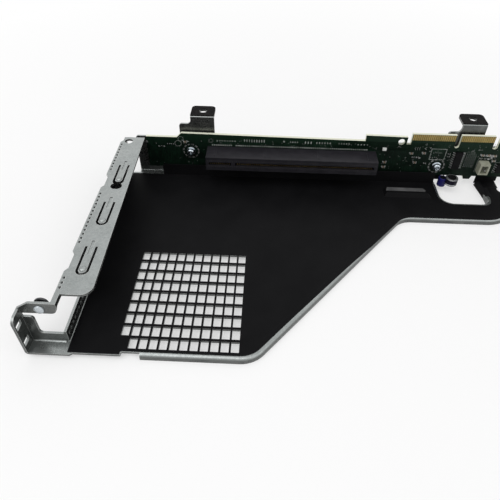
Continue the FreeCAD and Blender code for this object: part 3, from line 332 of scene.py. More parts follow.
LOOKS = {
    "zinc_sheet": zinc(),
    "black_film": plain("black_film", (0.0038, 0.0038, 0.0043), (0.0066, 0.0066, 0.0072),
                        (0.42, 0.56), scale=60, relief=0.12, edge_colour=(0.03, 0.03, 0.032),
                        edge_radius=0.00015, Specular_IOR_Level=0.05),
    "black_pad": plain("black_pad", (0.003, 0.003, 0.003), (0.016, 0.015, 0.015), (0.6, 0.8),
                       scale=900, relief=0.4, edge_colour=(0.02, 0.02, 0.02),
                       Specular_IOR_Level=0.05),
    "green_board": board_mask(),
    "gold_plating": plain("gold_plate", (0.29, 0.21, 0.065), (0.42, 0.31, 0.11), (0.24, 0.38),
                          metallic=0.9, edge_colour=(0.6, 0.5, 0.28)),
    "black_slot_plastic": plain("slot_plastic", (0.008, 0.0075, 0.010), (0.017, 0.016, 0.020),
                                (0.40, 0.55), relief=0.2, edge_colour=(0.06, 0.06, 0.065),
                                Specular_IOR_Level=0.25),
    "solder_tin": plain("tin", (0.10, 0.10, 0.10), (0.62, 0.63, 0.62), (0.25, 0.42),
                        metallic=0.85, scale=420, edge_colour=(0.7, 0.7, 0.7)),
    "steel_fixings": plain("plated_steel", (0.38, 0.42, 0.46), (0.52, 0.57, 0.61), (0.10, 0.18),
                           metallic=1.0, edge_colour=(0.85, 0.88, 0.9), edge_radius=0.00025),
    "ivory_plastic": plain("ivory_plastic", (0.22, 0.225, 0.165), (0.36, 0.365, 0.29), (0.35, 0.5),
                           edge_colour=(0.52, 0.52, 0.44)),
    "chip_black": plain("chip_mould", (0.0035, 0.0035, 0.004), (0.0075, 0.0075, 0.008),
                        (0.45, 0.62), relief=0.25, edge_colour=(0.02, 0.02, 0.02),
                        Specular_IOR_Level=0.08),
    "blue_sleeve": plain("blue_sleeve", (0.005, 0.005, 0.06), (0.012, 0.012, 0.12),
                         (0.22, 0.36), edge_colour=(0.03, 0.03, 0.14), Specular_IOR_Level=0.2),
    "violet_sleeve": plain("violet_sleeve", (0.003, 0.003, 0.006), (0.008, 0.007, 0.018),
                           (0.25, 0.4), edge_colour=(0.03, 0.03, 0.05), Specular_IOR_Level=0.15),
    "white_lens": plain("pale_lens", (0.62, 0.63, 0.60), (0.78, 0.79, 0.76), (0.2, 0.35)),
    "ceramic_tan": plain("ceramic", (0.10, 0.07, 0.045), (0.19, 0.14, 0.09), (0.4, 0.55),
                         edge_colour=(0.3, 0.26, 0.2)),
}
GROUND = plain("ground_pads", (0.03, 0.03, 0.03), (0.34, 0.34, 0.33), (0.3, 0.45), metallic=0.6,
               scale=380, edge_colour=(0.5, 0.5, 0.5))
SILK = plain("silk_print", (0.10, 0.12, 0.10), (0.50, 0.52, 0.50), (0.6, 0.75), scale=260,
             relief=0.3)
TRACE = plain("trace_mask", (0.005, 0.017, 0.009), (0.011, 0.034, 0.018), (0.3, 0.42),
              Specular_IOR_Level=0.12)
# Lighter film colour for the rib's crown, a painted sheen.
RIB_PAINTED_SHEEN = plain("film_painted_sheen", (0.055, 0.055, 0.056), (0.14, 0.14, 0.142), (0.4, 0.55), scale=120,
                  relief=0.2, Specular_IOR_Level=0.1)
PIN = pin_steel()
CAN_TOP = plain("can_aluminium", (0.30, 0.31, 0.32), (0.46, 0.47, 0.48), (0.22, 0.36),
                metallic=0.9, edge_colour=(0.75, 0.75, 0.76))

slots_of = {row["node"]: row["material_slot"] for row in frame["record"]["subparts"]}
for name, node in nodes.items():
    for slot in node.material_slots:
        slot.material = GROUND if name == "screw_pads" else LOOKS[slots_of[name]]


# Mesh helpers

def finish_piece(name, bm, looks, replaced=(), smooth=False):
    """Turn a bmesh into a piece of the object."""
    bmesh.ops.recalc_face_normals(bm, faces=bm.faces)
    mesh = bpy.data.meshes.new(name)
    bm.to_mesh(mesh)
    bm.free()
    for look in looks:
        mesh.materials.append(look)
    if smooth:
        mesh.polygons.foreach_set("use_smooth", [True] * len(mesh.polygons))
        mesh.set_sharp_from_angle(angle=math.radians(32))
    piece = bpy.data.objects.new(name, mesh)
    bpy.context.scene.collection.objects.link(piece)
    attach(piece, "root")
    if replaced:
        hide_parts(*replaced)
    return piece


def soften(bm, width, segments=2, angle=30):
    """Bevel every edge that is sharper than an angle."""
    sharp = [edge for edge in bm.edges
             if len(edge.link_faces) == 2 and edge.calc_face_angle(0) > math.radians(angle)]
    bmesh.ops.bevel(bm, geom=sharp, offset=width * MM, segments=segments, profile=0.5,
                    affect="EDGES", clamp_overlap=True)


def low_relief(bm, outlines, base, rise, slope=0.04):
    """Low raised shapes on an upright face, from outlines of (x, z) points."""
    for outline in outlines:
        middle_x = sum(x for x, z in outline) / len(outline)
        middle_z = sum(z for x, z in outline) / len(outline)
        reach = max(math.hypot(x - middle_x, z - middle_z) for x, z in outline)
        shrink = 1 - min(0.3, slope / reach)
        foot = [bm.verts.new(at(x, base, z)) for x, z in outline]
        crown = [bm.verts.new(at(middle_x + (x - middle_x) * shrink, base + rise,
                                 middle_z + (z - middle_z) * shrink)) for x, z in outline]
        bm.faces.new(crown)
        for i in range(len(outline)):
            j = (i + 1) % len(outline)
            bm.faces.new((foot[i], foot[j], crown[j], crown[i]))


def patch(x, z, width, height):
    """A rectangle round a centre."""
    return [(x - width / 2, z - height / 2), (x + width / 2, z - height / 2),
            (x + width / 2, z + height / 2), (x - width / 2, z + height / 2)]


def stroke(points, width):
    """Four-cornered outlines along a run of points."""
    outlines = []
    for (x0, z0), (x1, z1) in zip(points, points[1:]):
        length = math.hypot(x1 - x0, z1 - z0)
        along_x, along_z = (x1 - x0) / length * width / 2, (z1 - z0) / length * width / 2
        outlines.append([(x0 - along_x - along_z, z0 - along_z + along_x),
                         (x1 + along_x - along_z, z1 + along_z + along_x),
                         (x1 + along_x + along_z, z1 + along_z - along_x),
                         (x0 - along_x + along_z, z0 - along_z - along_x)])
    return outlines


def ring(x, z, radius, width, start=0.0, stop=360.0, steps=24):
    """A ring or an arc as strokes."""
    turns = [math.radians(start + (stop - start) * i / steps) for i in range(steps + 1)]
    return stroke([(x + radius * math.cos(t), z + radius * math.sin(t)) for t in turns], width)


def lathe(bm, centre, axis, profile, marks=(), steps=36):
    """Turn (radius, along) points round an axis; marks name each band's material."""
    rings = []
    for radius, along in profile:
        loop = []
        for i in range(steps if radius else 1):
            turn = 2 * math.pi * i / steps
            across, up = radius * math.cos(turn), radius * math.sin(turn)
            offset = (across, along, up) if axis == "Y" else (across, up, along)
            loop.append(bm.verts.new(at(*[c + o for c, o in zip(centre, offset)])))
        rings.append(loop)
    for band, (first, second) in enumerate(zip(rings, rings[1:])):
        for i in range(steps):
            j = (i + 1) % steps
            corners = []
            for loop, index in ((first, i), (first, j), (second, j), (second, i)):
                vert = loop[index % len(loop)]
                if vert not in corners:
                    corners.append(vert)
            face = bm.faces.new(corners)
            face.material_index = marks[band] if marks else 0


def pocket_box(bm, low, high, x_cuts, z_cuts, pockets, depth):
    """A box with pockets of one depth in chosen cells of its front, which looks along -y."""
    xs = [low[0], *x_cuts, high[0]]
    zs = [low[2], *z_cuts, high[2]]
    front = {(i, j): bm.verts.new(at(x, low[1], z)) for i, x in enumerate(xs)
             for j, z in enumerate(zs)}
    last_x, last_z = len(xs) - 1, len(zs) - 1
    back = {(i, j): bm.verts.new(at(xs[i], high[1], zs[j])) for i in (0, last_x)
            for j in (0, last_z)}
    for i in range(last_x):
        for j in range(last_z):
            rim = [front[i, j], front[i + 1, j], front[i + 1, j + 1], front[i, j + 1]]
            if (i, j) not in pockets:
                bm.faces.new(rim)
                continue
            floor = [bm.verts.new(v.co + Vector((0, depth * MM, 0))) for v in rim]
            bm.faces.new(floor)
            for k in range(4):
                n = (k + 1) % 4
                bm.faces.new((rim[k], rim[n], floor[n], floor[k]))
    for j in (0, last_z):
        bm.faces.new([front[i, j] for i in range(last_x + 1)] + [back[last_x, j], back[0, j]])
    for i in (0, last_x):
        bm.faces.new([front[i, j] for j in range(last_z + 1)] + [back[i, last_z], back[i, 0]])
    bm.faces.new([back[0, 0], back[last_x, 0], back[last_x, last_z], back[0, last_z]])


def add_block(bm, low, high):
    """A closed block between two corners."""
    pocket_box(bm, low, high, (), (), (), 0)


def join_rows(bm, rows):
    """Faces between neighbouring rows of points."""
    for first, second in zip(rows, rows[1:]):
        for k in range(len(first) - 1):
            bm.faces.new((first[k], first[k + 1], second[k + 1], second[k]))


def sweep_strip(bm, path, section):
    """Carry an open (out, up) section along level (x, y, out_x, out_y) stations."""
    rows = [[bm.verts.new(at(x + out * out_x, y + out * out_y, up)) for out, up in section]
            for x, y, out_x, out_y in path]
    join_rows(bm, rows)
    return rows


def arc_section(centre, radius, start, stop, steps):
    """Points of an arc from one angle to another, in degrees."""
    turns = [math.radians(start + (stop - start) * i / steps) for i in range(steps + 1)]
    return [(centre[0] + radius * math.cos(t), centre[1] + radius * math.sin(t)) for t in turns]


def contact_columns(count):
    """Where the slot's contacts stand along x, with the wider step at the key."""
    return [SLOT_X + 2.6 + i + (1.6 if i > 10 else 0.0) for i in range(count)]


# Board print, copper and small parts

def build_fingers():
    """Gold fingers at 1 mm pitch on both faces of the board's top edge."""
    bm = bmesh.new()
    for start, stop in FINGER_RUNS:
        count = int(stop - start - 0.8) + 1
        first = (start + stop) / 2 - (count - 1) / 2
        outlines = [patch(first + i, FINGER_Z, FINGER_WIDE, FINGER_TALL) for i in range(count)]
        low_relief(bm, outlines, BOARD_FRONT, -0.1)
        low_relief(bm, outlines, BOARD_BACK, 0.1)
    finish_piece("edge_fingers", bm, [LOOKS["gold_plating"]], ["edge_contacts"])


# Rows of small printed or tinned marks: first x, count, pitch, z, width and height
BARS = ((48.0, 8, 1.35, 21.7, 0.45, 0.7), (62.4, 9, 1.3, 22.2, 0.4, 1.5),
        (83.2, 1, 1.0, 22.4, 0.9, 0.8), (86.6, 4, 1.2, 22.2, 0.5, 0.7),
        (94.4, 3, 1.5, 22.2, 0.55, 1.3), (100.4, 6, 1.4, 22.2, 0.4, 1.0),
        (112.0, 5, 1.3, 22.2, 0.4, 0.8), (122.0, 4, 1.6, 22.0, 0.5, 0.6))


def build_silk():
    """White print: part outlines, index marks and rings, with no lettering."""
    marks = []
    box = [(160.7, 14.4), (168.5, 14.4), (168.5, 20.9), (160.7, 20.9), (160.7, 14.4)]
    marks += stroke(box, 0.22)
    marks += stroke([(178.6, 9.4), (178.6, 19.6)], 0.14)
    marks += ring(27.0, 19.3, 1.7, 0.3) + ring(28.6, 22.1, 1.4, 0.12, steps=16)
    marks += ring(44.6, 21.5, 0.95, 0.5, steps=16)
    marks += stroke([(31.2, 20.7), (32.7, 20.7)], 0.4)
    marks += ring(157.2, 23.4, 0.4, 0.2, steps=10)
    marks += stroke([(163.0, 18.6), (166.4, 18.6)], 0.14)
    for x in (152.2, 153.3, 154.4):
        marks += ring(x + 1.3, 20.8, 1.5, 0.16, 150, 215, 5)
    marks += stroke([(157.9, 21.8), (156.9, 21.0), (157.9, 20.2)], 0.18)
    for x, z, wide, high in ((186.4, 7.6, 7.2, 8.2), (196.0, 7.4, 6.0, 6.4),
                             (202.6, 11.2, 3.4, 7.8)):
        corners = [(x, z), (x + wide, z), (x + wide, z + high), (x, z + high), (x, z)]
        marks += stroke(corners, 0.1)
    for x0, count, pitch, z, wide, high in BARS:
        marks += [patch(x0 + pitch * i, z, wide, high) for i in range(count)]
    row_z = SLOT_Z + SLOT_WIDE / 2 + 0.8
    marks += [patch(x, row_z, 0.5, 0.75) for x in contact_columns(81)]
    chance = random.Random(7)
    for x0, x1, z0, z1, count in ((160.9, 168.3, 14.6, 20.6, 9), (198.0, 214.0, 17.0, 21.6, 18),
                                  (179.0, 186.0, 18.6, 21.8, 14), (147.0, 152.0, 12.0, 16.0, 6)):
        for _ in range(count):
            x, z = chance.uniform(x0, x1), chance.uniform(z0, z1)
            long = chance.uniform(0.35, 0.9)
            upright = chance.random() < 0.5
            end = (x, z + long) if upright else (x + long, z)
            marks += stroke([(x, z), end], 0.12)
    bm = bmesh.new()
    low_relief(bm, marks, BOARD_FRONT, -0.03, 0.02)
    finish_piece("silk_print", bm, [SILK])


def build_pads():
    """Bare tinned pads: rows of unused footprints, test points and the ends of the small parts."""
    pads = []
    for row in range(6):
        for column in range(9):
            pads.append(patch(179.8 + row * 0.95, 10.6 + column * 0.95, 0.26, 0.3))
    for x, z in ((155.5, 15.1), (189.8, 17.8), (191.3, 17.5), (192.8, 17.7), (189.8, 15.9),
                 (191.5, 15.8), (192.9, 16.6), (10.5, 19.75), (16.7, 17.2), (19.3, 17.2)):
        pads.append(patch(x, z, 1.0, 0.75))
    pads += [patch(159.9, 21.4, 0.5, 0.5), patch(160.0, 19.3, 0.5, 0.5)]
    bm = bmesh.new()
    low_relief(bm, pads, BOARD_FRONT, -0.06, 0.05)
    finish_piece("bare_pads", bm, [LOOKS["solder_tin"]])


def build_traces():
    """Copper runs under the mask, from the card slot up and along to the gold fingers."""
    runs = []
    chance = random.Random(11)
    for number in range(46):
        start_x = 96.0 + number * 0.78
        lane = 19.4 + (number % 12) * 0.42
        finger = 150.0 + number * 0.46
        points = [(start_x, 18.2), (start_x, lane - 0.4), (start_x + 0.4, lane),
                  (finger - 0.5, lane), (finger, lane + 0.5), (finger, 24.8)]
        runs += stroke(points, 0.16)
    for number in range(40):
        x = 175.0 + number * 0.95
        bend = chance.uniform(11.0, 19.0)
        drift = chance.choice((-1.4, -0.7, 0.7, 1.4))
        points = [(x, 24.8), (x, bend + abs(drift)), (x + drift, bend),
                  (x + drift, bend - chance.uniform(1.0, 4.0))]
        runs += stroke(points, 0.15)
    for number in range(30):
        x = 46.0 + number * 1.9
        lane = 19.2 + (number % 8) * 0.55
        runs += stroke([(x, 18.3), (x, lane), (x + chance.uniform(4, 12), lane)], 0.15)
    bm = bmesh.new()
    low_relief(bm, runs, BOARD_FRONT, -0.02, 0.015)
    back_runs = []
    for number in range(60):
        x = 46.0 + number * 1.4
        lane = 18.6 + (number % 9) * 0.5
        back_runs += stroke([(x, 16.4), (x, lane), (x + 9.0, lane)], 0.16)
    low_relief(bm, back_runs, BOARD_BACK, 0.02, 0.015)
    finish_piece("copper_runs", bm, [TRACE])


def build_vias():
    """Small tinned caps scattered over four fields, clear of the screws."""
    chance = random.Random(23)
    turns = [math.pi / 4 * k for k in range(8)]
    radius, screw_clearance = 0.17, 5.2
    outlines = []
    for x0, x1, z0, z1, count in ((150.0, 214.0, 9.0, 23.8, 80), (46.0, 146.0, 19.0, 22.6, 60),
                                  (132.0, 148.0, 6.0, 22.6, 14), (12.0, 42.0, 6.0, 21.6, 18)):
        for _ in range(count):
            x, z = chance.uniform(x0, x1), chance.uniform(z0, z1)
            if all(math.hypot(x - sx, z - sz) >= screw_clearance for sx, sz in SCREWS):
                outlines.append([(x + radius * math.cos(t), z + radius * math.sin(t))
                                 for t in turns])
    bm = bmesh.new()
    low_relief(bm, outlines, BOARD_FRONT, -0.035, 0.04)
    finish_piece("via_caps", bm, [GROUND])


# Centres of the small surface parts on the board, as (x, z)
CERAMICS = [(150.5, 18.0), (153.5, 12.4), (157.0, 18.4), (187.6, 18.2), (190.8, 18.2),
            (194.0, 18.0), (194.4, 15.0), (204.0, 17.5), (207.0, 17.5), (31.0, 20.5),
            (137.5, 12.0), (137.5, 9.0)]
RESISTORS = [(152.0, 15.6), (154.2, 15.6), (159.0, 12.0), (170.2, 18.2), (170.2, 16.6),
             (187.4, 16.2), (190.0, 16.2), (205.0, 14.0), (205.0, 12.4), (208.0, 9.0),
             (22.0, 19.0), (24.0, 19.0)]


def build_part_ends():
    """Tinned end caps with small solder feet on the surface parts."""
    bm = bmesh.new()
    for places, wide, high, thick in ((CERAMICS, 1.6, 0.8, 0.8), (RESISTORS, 1.0, 0.5, 0.35)):
        cap = wide * 0.24
        for x, z in places:
            for side in (-1, 1):
                middle = x + side * (wide / 2 - cap / 2 + 0.02)
                add_block(bm, (middle - cap / 2, BOARD_FRONT - thick - 0.03, z - high / 2 - 0.03),
                          (middle + cap / 2, BOARD_FRONT, z + high / 2 + 0.03))
    soften(bm, 0.05, 1)
    for places, wide, high in ((CERAMICS, 1.6, 0.8), (RESISTORS, 1.0, 0.5)):
        feet = [patch(x + side * wide * 0.52, z, wide * 0.35, high * 1.1)
                for x, z in places for side in (-1, 1)]
        low_relief(bm, feet, BOARD_FRONT, -0.12, 0.15)
    finish_piece("part_ends", bm, [LOOKS["solder_tin"]])


# Card slot

def build_slot():
    """Housing with a keyed throat, a row of ribs on each side of it and eight clips."""
    bm = bmesh.new()
    front, back = BOARD_FRONT - SLOT_TALL, BOARD_FRONT
    half = SLOT_WIDE / 2
    pocket_box(bm, (SLOT_X, front, SLOT_Z - half), (SLOT_X + SLOT_LONG, back, SLOT_Z + half),
               [SLOT_X + 1.5, SLOT_X + KEY[0], SLOT_X + KEY[1], SLOT_X + SLOT_LONG - 1.5],
               [SLOT_Z - THROAT_WIDE / 2, SLOT_Z + THROAT_WIDE / 2], {(1, 1), (3, 1)}, THROAT_DEEP)
    soften(bm, 0.3, 2)
    for side in (-1, 1):
        for index in range(88):
            x = SLOT_X + 1.0 + index
            inner = SLOT_Z + side * (THROAT_WIDE / 2 + 0.35)
            outer = SLOT_Z + side * (THROAT_WIDE / 2 + 1.15)
            low, high = min(inner, outer), max(inner, outer)
            add_block(bm, (x - 0.18, front - 0.12, low), (x + 0.18, front + 0.4, high))
    for x in (SLOT_X + 4.0, SLOT_X + 30.0, SLOT_X + 58.0, SLOT_X + 84.0):
        add_block(bm, (x, front + 2.0, SLOT_Z + half - 0.2),
                  (x + 1.2, back - 2.0, SLOT_Z + half + 0.25))
        add_block(bm, (x, front + 2.0, SLOT_Z - half - 0.25),
                  (x + 1.2, back - 2.0, SLOT_Z - half + 0.2))
    finish_piece("slot_body", bm, [LOOKS["black_slot_plastic"]],
                 ["slot_housing"])


def build_slot_springs():
    """Two facing rows of bent spring contacts in the slot's throat."""
    bm = bmesh.new()
    deep = BOARD_FRONT - SLOT_TALL + THROAT_DEEP
    profile = [(0.86, 0.0), (0.84, 3.0), (0.45, 5.0), (0.40, 5.8), (0.72, 7.2)]
    thick, half = 0.14, 0.25
    for side in (-1, 1):
        for index in range(85):
            x = SLOT_X + 2.4 + index
            if SLOT_X + KEY[0] - 0.6 < x < SLOT_X + KEY[1] + 0.6:
                continue
            if x > SLOT_X + SLOT_LONG - 2.0:
                break
            rows = []
            for out, rise in profile:
                corners = []
                for dx, shift in ((-half, 0), (half, 0), (half, thick), (-half, thick)):
                    corners.append(bm.verts.new(at(x + dx, deep - rise,
                                                   SLOT_Z + side * (out + shift - thick))))
                rows.append(corners)
            for lower, upper in zip(rows, rows[1:]):
                for k in range(4):
                    n = (k + 1) % 4
                    bm.faces.new((lower[k], lower[n], upper[n], upper[k]))
            bm.faces.new(rows[-1])
    finish_piece("slot_springs", bm, [LOOKS["gold_plating"]], ["slot_contacts"])


def build_solder():
    """Soldered tails of the slot and of the header behind the board."""
    bm = bmesh.new()
    inner, outer = 1.4, 2.6
    places = []
    for row in (-1, 1):
        for index, x in enumerate(contact_columns(82)):
            places.append((x, SLOT_Z + row * (outer if index % 2 else inner), 0.36))
    places += [(189.9, 10.2, 0.5), (191.9, 10.2, 0.5)]
    for x, z, radius in places:
        cone = [(radius, 0.0), (radius * 0.8, 0.16), (radius * 0.42, 0.5), (radius * 0.36, 0.95),
                (0.0, 1.05)]
        lathe(bm, (x, BOARD_BACK, z), "Y", cone, steps=8)
    finish_piece("solder_tails", bm, [LOOKS["solder_tin"]], smooth=True)


# Screws, spacers and pin

def screw_profile():
    """(radius, along) points of a screw: crowned head, washer, shank and threads."""
    shank, root, half_pitch = 1.45, 1.22, 0.18
    threads = []
    along = 3.9
    while along < 5.0:
        threads += [(shank, along), (root, along + half_pitch)]
        along += 2 * half_pitch
    return [(0.001, -2.5), (1.1, -2.5), (1.55, -2.38), (1.82, -2.1), (1.95, -1.6), (1.95, -0.56),
            (2.3, -0.5), (2.42, -0.42), (2.42, -0.08), (2.34, 0.0), (shank, 0.0), (shank, 3.85),
            *threads, (0.9, 5.0), (0.0, 5.02)]


def cut_recess(screw, x, z):
    """Cut a cross recess into a screw's head."""
    long, thick, low, high = 2.1, 0.5, 1.4, 3.2
    bm = bmesh.new()
    for across, up in ((long, thick), (thick, long)):
        add_block(bm, (x - across / 2, BOARD_FRONT - high, z - up / 2),
                  (x + across / 2, BOARD_FRONT - low, z + up / 2))
    bmesh.ops.recalc_face_normals(bm, faces=bm.faces)
    mesh = bpy.data.meshes.new("cutter")
    bm.to_mesh(mesh)
    bm.free()
    cutter = bpy.data.objects.new("cutter", mesh)
    bpy.context.scene.collection.objects.link(cutter)
    recess = screw.modifiers.new("recess", "BOOLEAN")
    recess.operation = "DIFFERENCE"
    recess.solver = "EXACT"
    recess.use_self = True
    recess.object = cutter
    view = bpy.context.evaluated_depsgraph_get()
    carved = bpy.data.meshes.new_from_object(screw.evaluated_get(view))
    screw.modifiers.remove(recess)
    screw.data = carved
    carved.set_sharp_from_angle(angle=math.radians(32))
    bpy.data.objects.remove(cutter)


def build_screws():
    """The board's two screws, which replace the plain ones."""
    for side, (x, z) in zip(("left", "right"), SCREWS):
        bm = bmesh.new()
        lathe(bm, (x, BOARD_FRONT, z), "Y", screw_profile(), steps=40)
        screw = finish_piece(f"{side}_screw_body", bm, [LOOKS["steel_fixings"]],
                             ["board_screws"], smooth=True)
        cut_recess(screw, x, z)


def build_guide_pin():
    """Rivet with a low riveted end in front of the strap and a mushroom head behind it."""
    bm = bmesh.new()
    profile = [(0.0, -0.86), (0.9, -0.82), (1.5, -0.7), (1.88, -0.45), (1.98, -0.15), (1.98, 0.0),
               (1.6, 0.0), (1.6, 2.6), (2.7, 2.6), (2.86, 2.72), (2.88, 3.0), (2.75, 3.35),
               (2.4, 3.7), (1.8, 3.9), (0.9, 4.0), (0.0, 4.0)]
    lathe(bm, PIN_PLACE, "Y", profile)
    finish_piece("rivet_pin", bm, [PIN], ["guide_pin"], smooth=True)


def build_tongue_domes():
    """Rounded dimples near the tongue tips."""
    bm = bmesh.new()
    for y in DIMPLES_Y:
        dome = [(1.45, -0.02), (1.38, 0.14), (1.2, 0.32), (0.95, 0.46), (0.6, 0.56), (0.3, 0.6),
                (0.0, 0.61)]
        lathe(bm, (TONGUE_X, y, FLANGE_TOP), "Z", dome, steps=28)
    finish_piece("tongue_domes", bm, [LOOKS["zinc_sheet"]], smooth=True)


# Header and cans

def build_header():
    """Open shell with a latch at the top and a guide at each side."""
    bm = bmesh.new()
    x, z, wide, high, deep = 186.8, 8.6, 5.1, 6.2, 4.4
    wall, floor = 0.8, 1.4
    front = BOARD_FRONT - deep
    pocket_box(bm, (x, front, z), (x + wide, BOARD_FRONT, z + high),
               [x + wall, x + wide - wall], [z + wall, z + high - wall], {(1, 1)}, deep - floor)
    soften(bm, 0.22, 2)
    add_block(bm, (x + 2.1, front + 0.1, z + high - 0.9), (x + 3.7, front + 2.4, z + high - 0.2))
    add_block(bm, (x + 0.6, front + 0.8, z + 1.6), (x + 1.5, BOARD_FRONT - 1.2, z + 2.3))
    add_block(bm, (x + wide - 1.5, front + 0.8, z + 1.6),
              (x + wide - 0.6, BOARD_FRONT - 1.2, z + 2.3))
    finish_piece("header_shell", bm, [LOOKS["ivory_plastic"]], ["power_header"])


def build_can(name, node, x, axis_y, low, radius, height, look, rim):
    """A can with a rolled rim, a pressed groove, a rubber seal and two bent leads, the leads
    coloured black as painted shade.
    """
    bm = bmesh.new()
    seal_and_shaded_leads, half_lead, lead_thick, lead_drop, lead_top = 2, 0.25, 0.3, 0.3, 5.0
    centre = (x, axis_y, low)
    profile = [(0.0, height - 0.12), (radius * 0.62, height - 0.12), (radius * 0.7, height - 0.05),
               (radius * 0.86, height), (radius * 0.97, height - 0.15), (radius, height - 0.5),
               (radius, 1.0), (radius * 0.94, 0.85), (radius * 0.94, 0.7), (radius, 0.55),
               (radius, 0.15), (radius * 0.95, 0.0), (radius * 0.6, 0.0), (0.0, 0.06)]
    marks = [seal_and_shaded_leads, seal_and_shaded_leads, rim, rim, rim, 0, rim, rim, rim, 0, 0, seal_and_shaded_leads, seal_and_shaded_leads]
    lathe(bm, centre, "Z", profile, marks, steps=44)
    turned = set(bm.faces)
    for side in (-1, 1):
        lead_x = x + side * radius * 0.38
        add_block(bm, (lead_x - half_lead, axis_y, low - lead_drop),
                  (lead_x + half_lead, BOARD_FRONT, low + 0.1))
        add_block(bm, (lead_x - half_lead, BOARD_FRONT - lead_thick, low - lead_drop),
                  (lead_x + half_lead, BOARD_FRONT, lead_top))
    # The leads take the black seal colour as painted shade.
    for face in bm.faces:
        if face not in turned:
            face.material_index = seal_and_shaded_leads
    finish_piece(name, bm, [LOOKS[look], CAN_TOP, LOOKS["chip_black"]], [node], smooth=True)


def build_rib_crown():
    """Pale crown of the embossed rib: a thin, lighter film piece on its top that is a painted
    sheen.
    """
    bm = bmesh.new()
    outline = [(138.6, 107.9), (158.9, 107.9), (159.7, 108.8), (158.5, 110.8), (139.4, 110.8)]
    low, high = 2.12, 2.27
    foot = [bm.verts.new(at(x, y, low)) for x, y in outline]
    crown = [bm.verts.new(at(x, y, high)) for x, y in outline]
    bm.faces.new(crown)
    for i in range(len(outline)):
        j = (i + 1) % len(outline)
        bm.faces.new((foot[i], foot[j], crown[j], crown[i]))
    soften(bm, 0.06, 2)
    finish_piece("rib_crown", bm, [RIB_PAINTED_SHEEN])


def build_bends():
    """Rolled edge of the hand cut-out and the inside bend at the foot of the ear's low lip."""
    bm = bmesh.new()
    left_round, right_round = CUTOUT_ROUNDS
    stations = [(CUTOUT_LEFT, 118.0, 1, 0)]
    for centre_x, radius, start, stop in ((CUTOUT_LEFT + left_round, left_round, 180, 270),
                                          (CUTOUT_RIGHT - right_round, right_round, 270, 360)):
        for i in range(9):
            turn = math.radians(start + (stop - start) * i / 8)
            stations.append((centre_x + radius * math.cos(turn),
                             CUTOUT_FRONT + radius + radius * math.sin(turn),
                             -math.cos(turn), -math.sin(turn)))
    stations.append((CUTOUT_RIGHT, 108.5, -1, 0))
    sweep_strip(bm, stations, [(-0.25, 0.36), *arc_section((0.25, -0.5), 0.86, 110, -40, 10),
                               (0.1, -1.3)])
    finish_piece("cutout_roll", bm, [LOOKS["zinc_sheet"]], smooth=True)
    bm = bmesh.new()
    lip = [(x, LIP_BACK, 0, -1) for x in (-13.9, -10, -6, -3, -1.2)]
    sweep_strip(bm, lip, arc_section((0.9, 0.9), 0.92, 180, 270, 6))
    finish_piece("lip_bend", bm, [LOOKS["zinc_sheet"]], smooth=True)


def outer_bend_stations():
    """(x, y, out_x, out_y, share) along the outer bend; the share says how far the film wraps."""
    along = (DIAGONAL_HEAD - DIAGONAL_FOOT).normalized()
    first = DIAGONAL_FOOT + along * 6.0
    turn = math.atan2(along.y, along.x)
    reach = ELBOW_RADIUS * math.tan(turn / 2)
    bend_start = DIAGONAL_HEAD - along * reach
    centre = bend_start + Vector((along.y, -along.x)) * ELBOW_RADIUS
    stations = []
    for i in range(9):
        place = first.lerp(bend_start, i / 8)
        stations.append((place.x, place.y, along.y, -along.x, min(1.0, 0.35 + i * 0.3)))
    for i in range(1, 9):
        angle = math.pi / 2 + turn * (1 - i / 8)
        out_x, out_y = -math.cos(angle), -math.sin(angle)
        stations.append((centre.x - ELBOW_RADIUS * out_x, centre.y - ELBOW_RADIUS * out_y,
                         out_x, out_y, 1.0 - 0.5 * i / 8))
    centre_y = BAR_Y + CORNER_RADIUS
    for i in range(10):
        angle = math.radians(-90 + 8 * i)
        out_x, out_y = math.cos(angle), math.sin(angle)
        stations.append((BAR_END_X + CORNER_RADIUS * out_x, centre_y + CORNER_RADIUS * out_y,
                         out_x, out_y, 0.5 - 0.04 * i))
    return stations


def build_film_margin():
    """Film that wraps over the outer bend along the diagonal, the bar and the bar's end."""
    bm = bmesh.new()
    widest, thick, clear = math.radians(58), 0.2, 0.02
    rows = []
    for x, y, out_x, out_y, share in outer_bend_stations():
        section = [(-0.9, 0.33), (-0.2, 0.33)]
        for k in range(1, 6):
            lean = widest * share * k / 5
            section.append((BEND_RADIUS * math.sin(lean),
                            BEND_RADIUS * math.cos(lean) - BEND_DROP + clear))
        rows.append([bm.verts.new(at(x + out * out_x, y + out * out_y, up))
                     for out, up in section])
    join_rows(bm, rows)
    bmesh.ops.recalc_face_normals(bm, faces=bm.faces)
    if sum(face.normal.z for face in bm.faces) < 0:
        bmesh.ops.reverse_faces(bm, faces=bm.faces)
    bmesh.ops.solidify(bm, geom=bm.faces[:], thickness=thick * MM)
    finish_piece("film_margin", bm, [LOOKS["black_film"]], smooth=True)


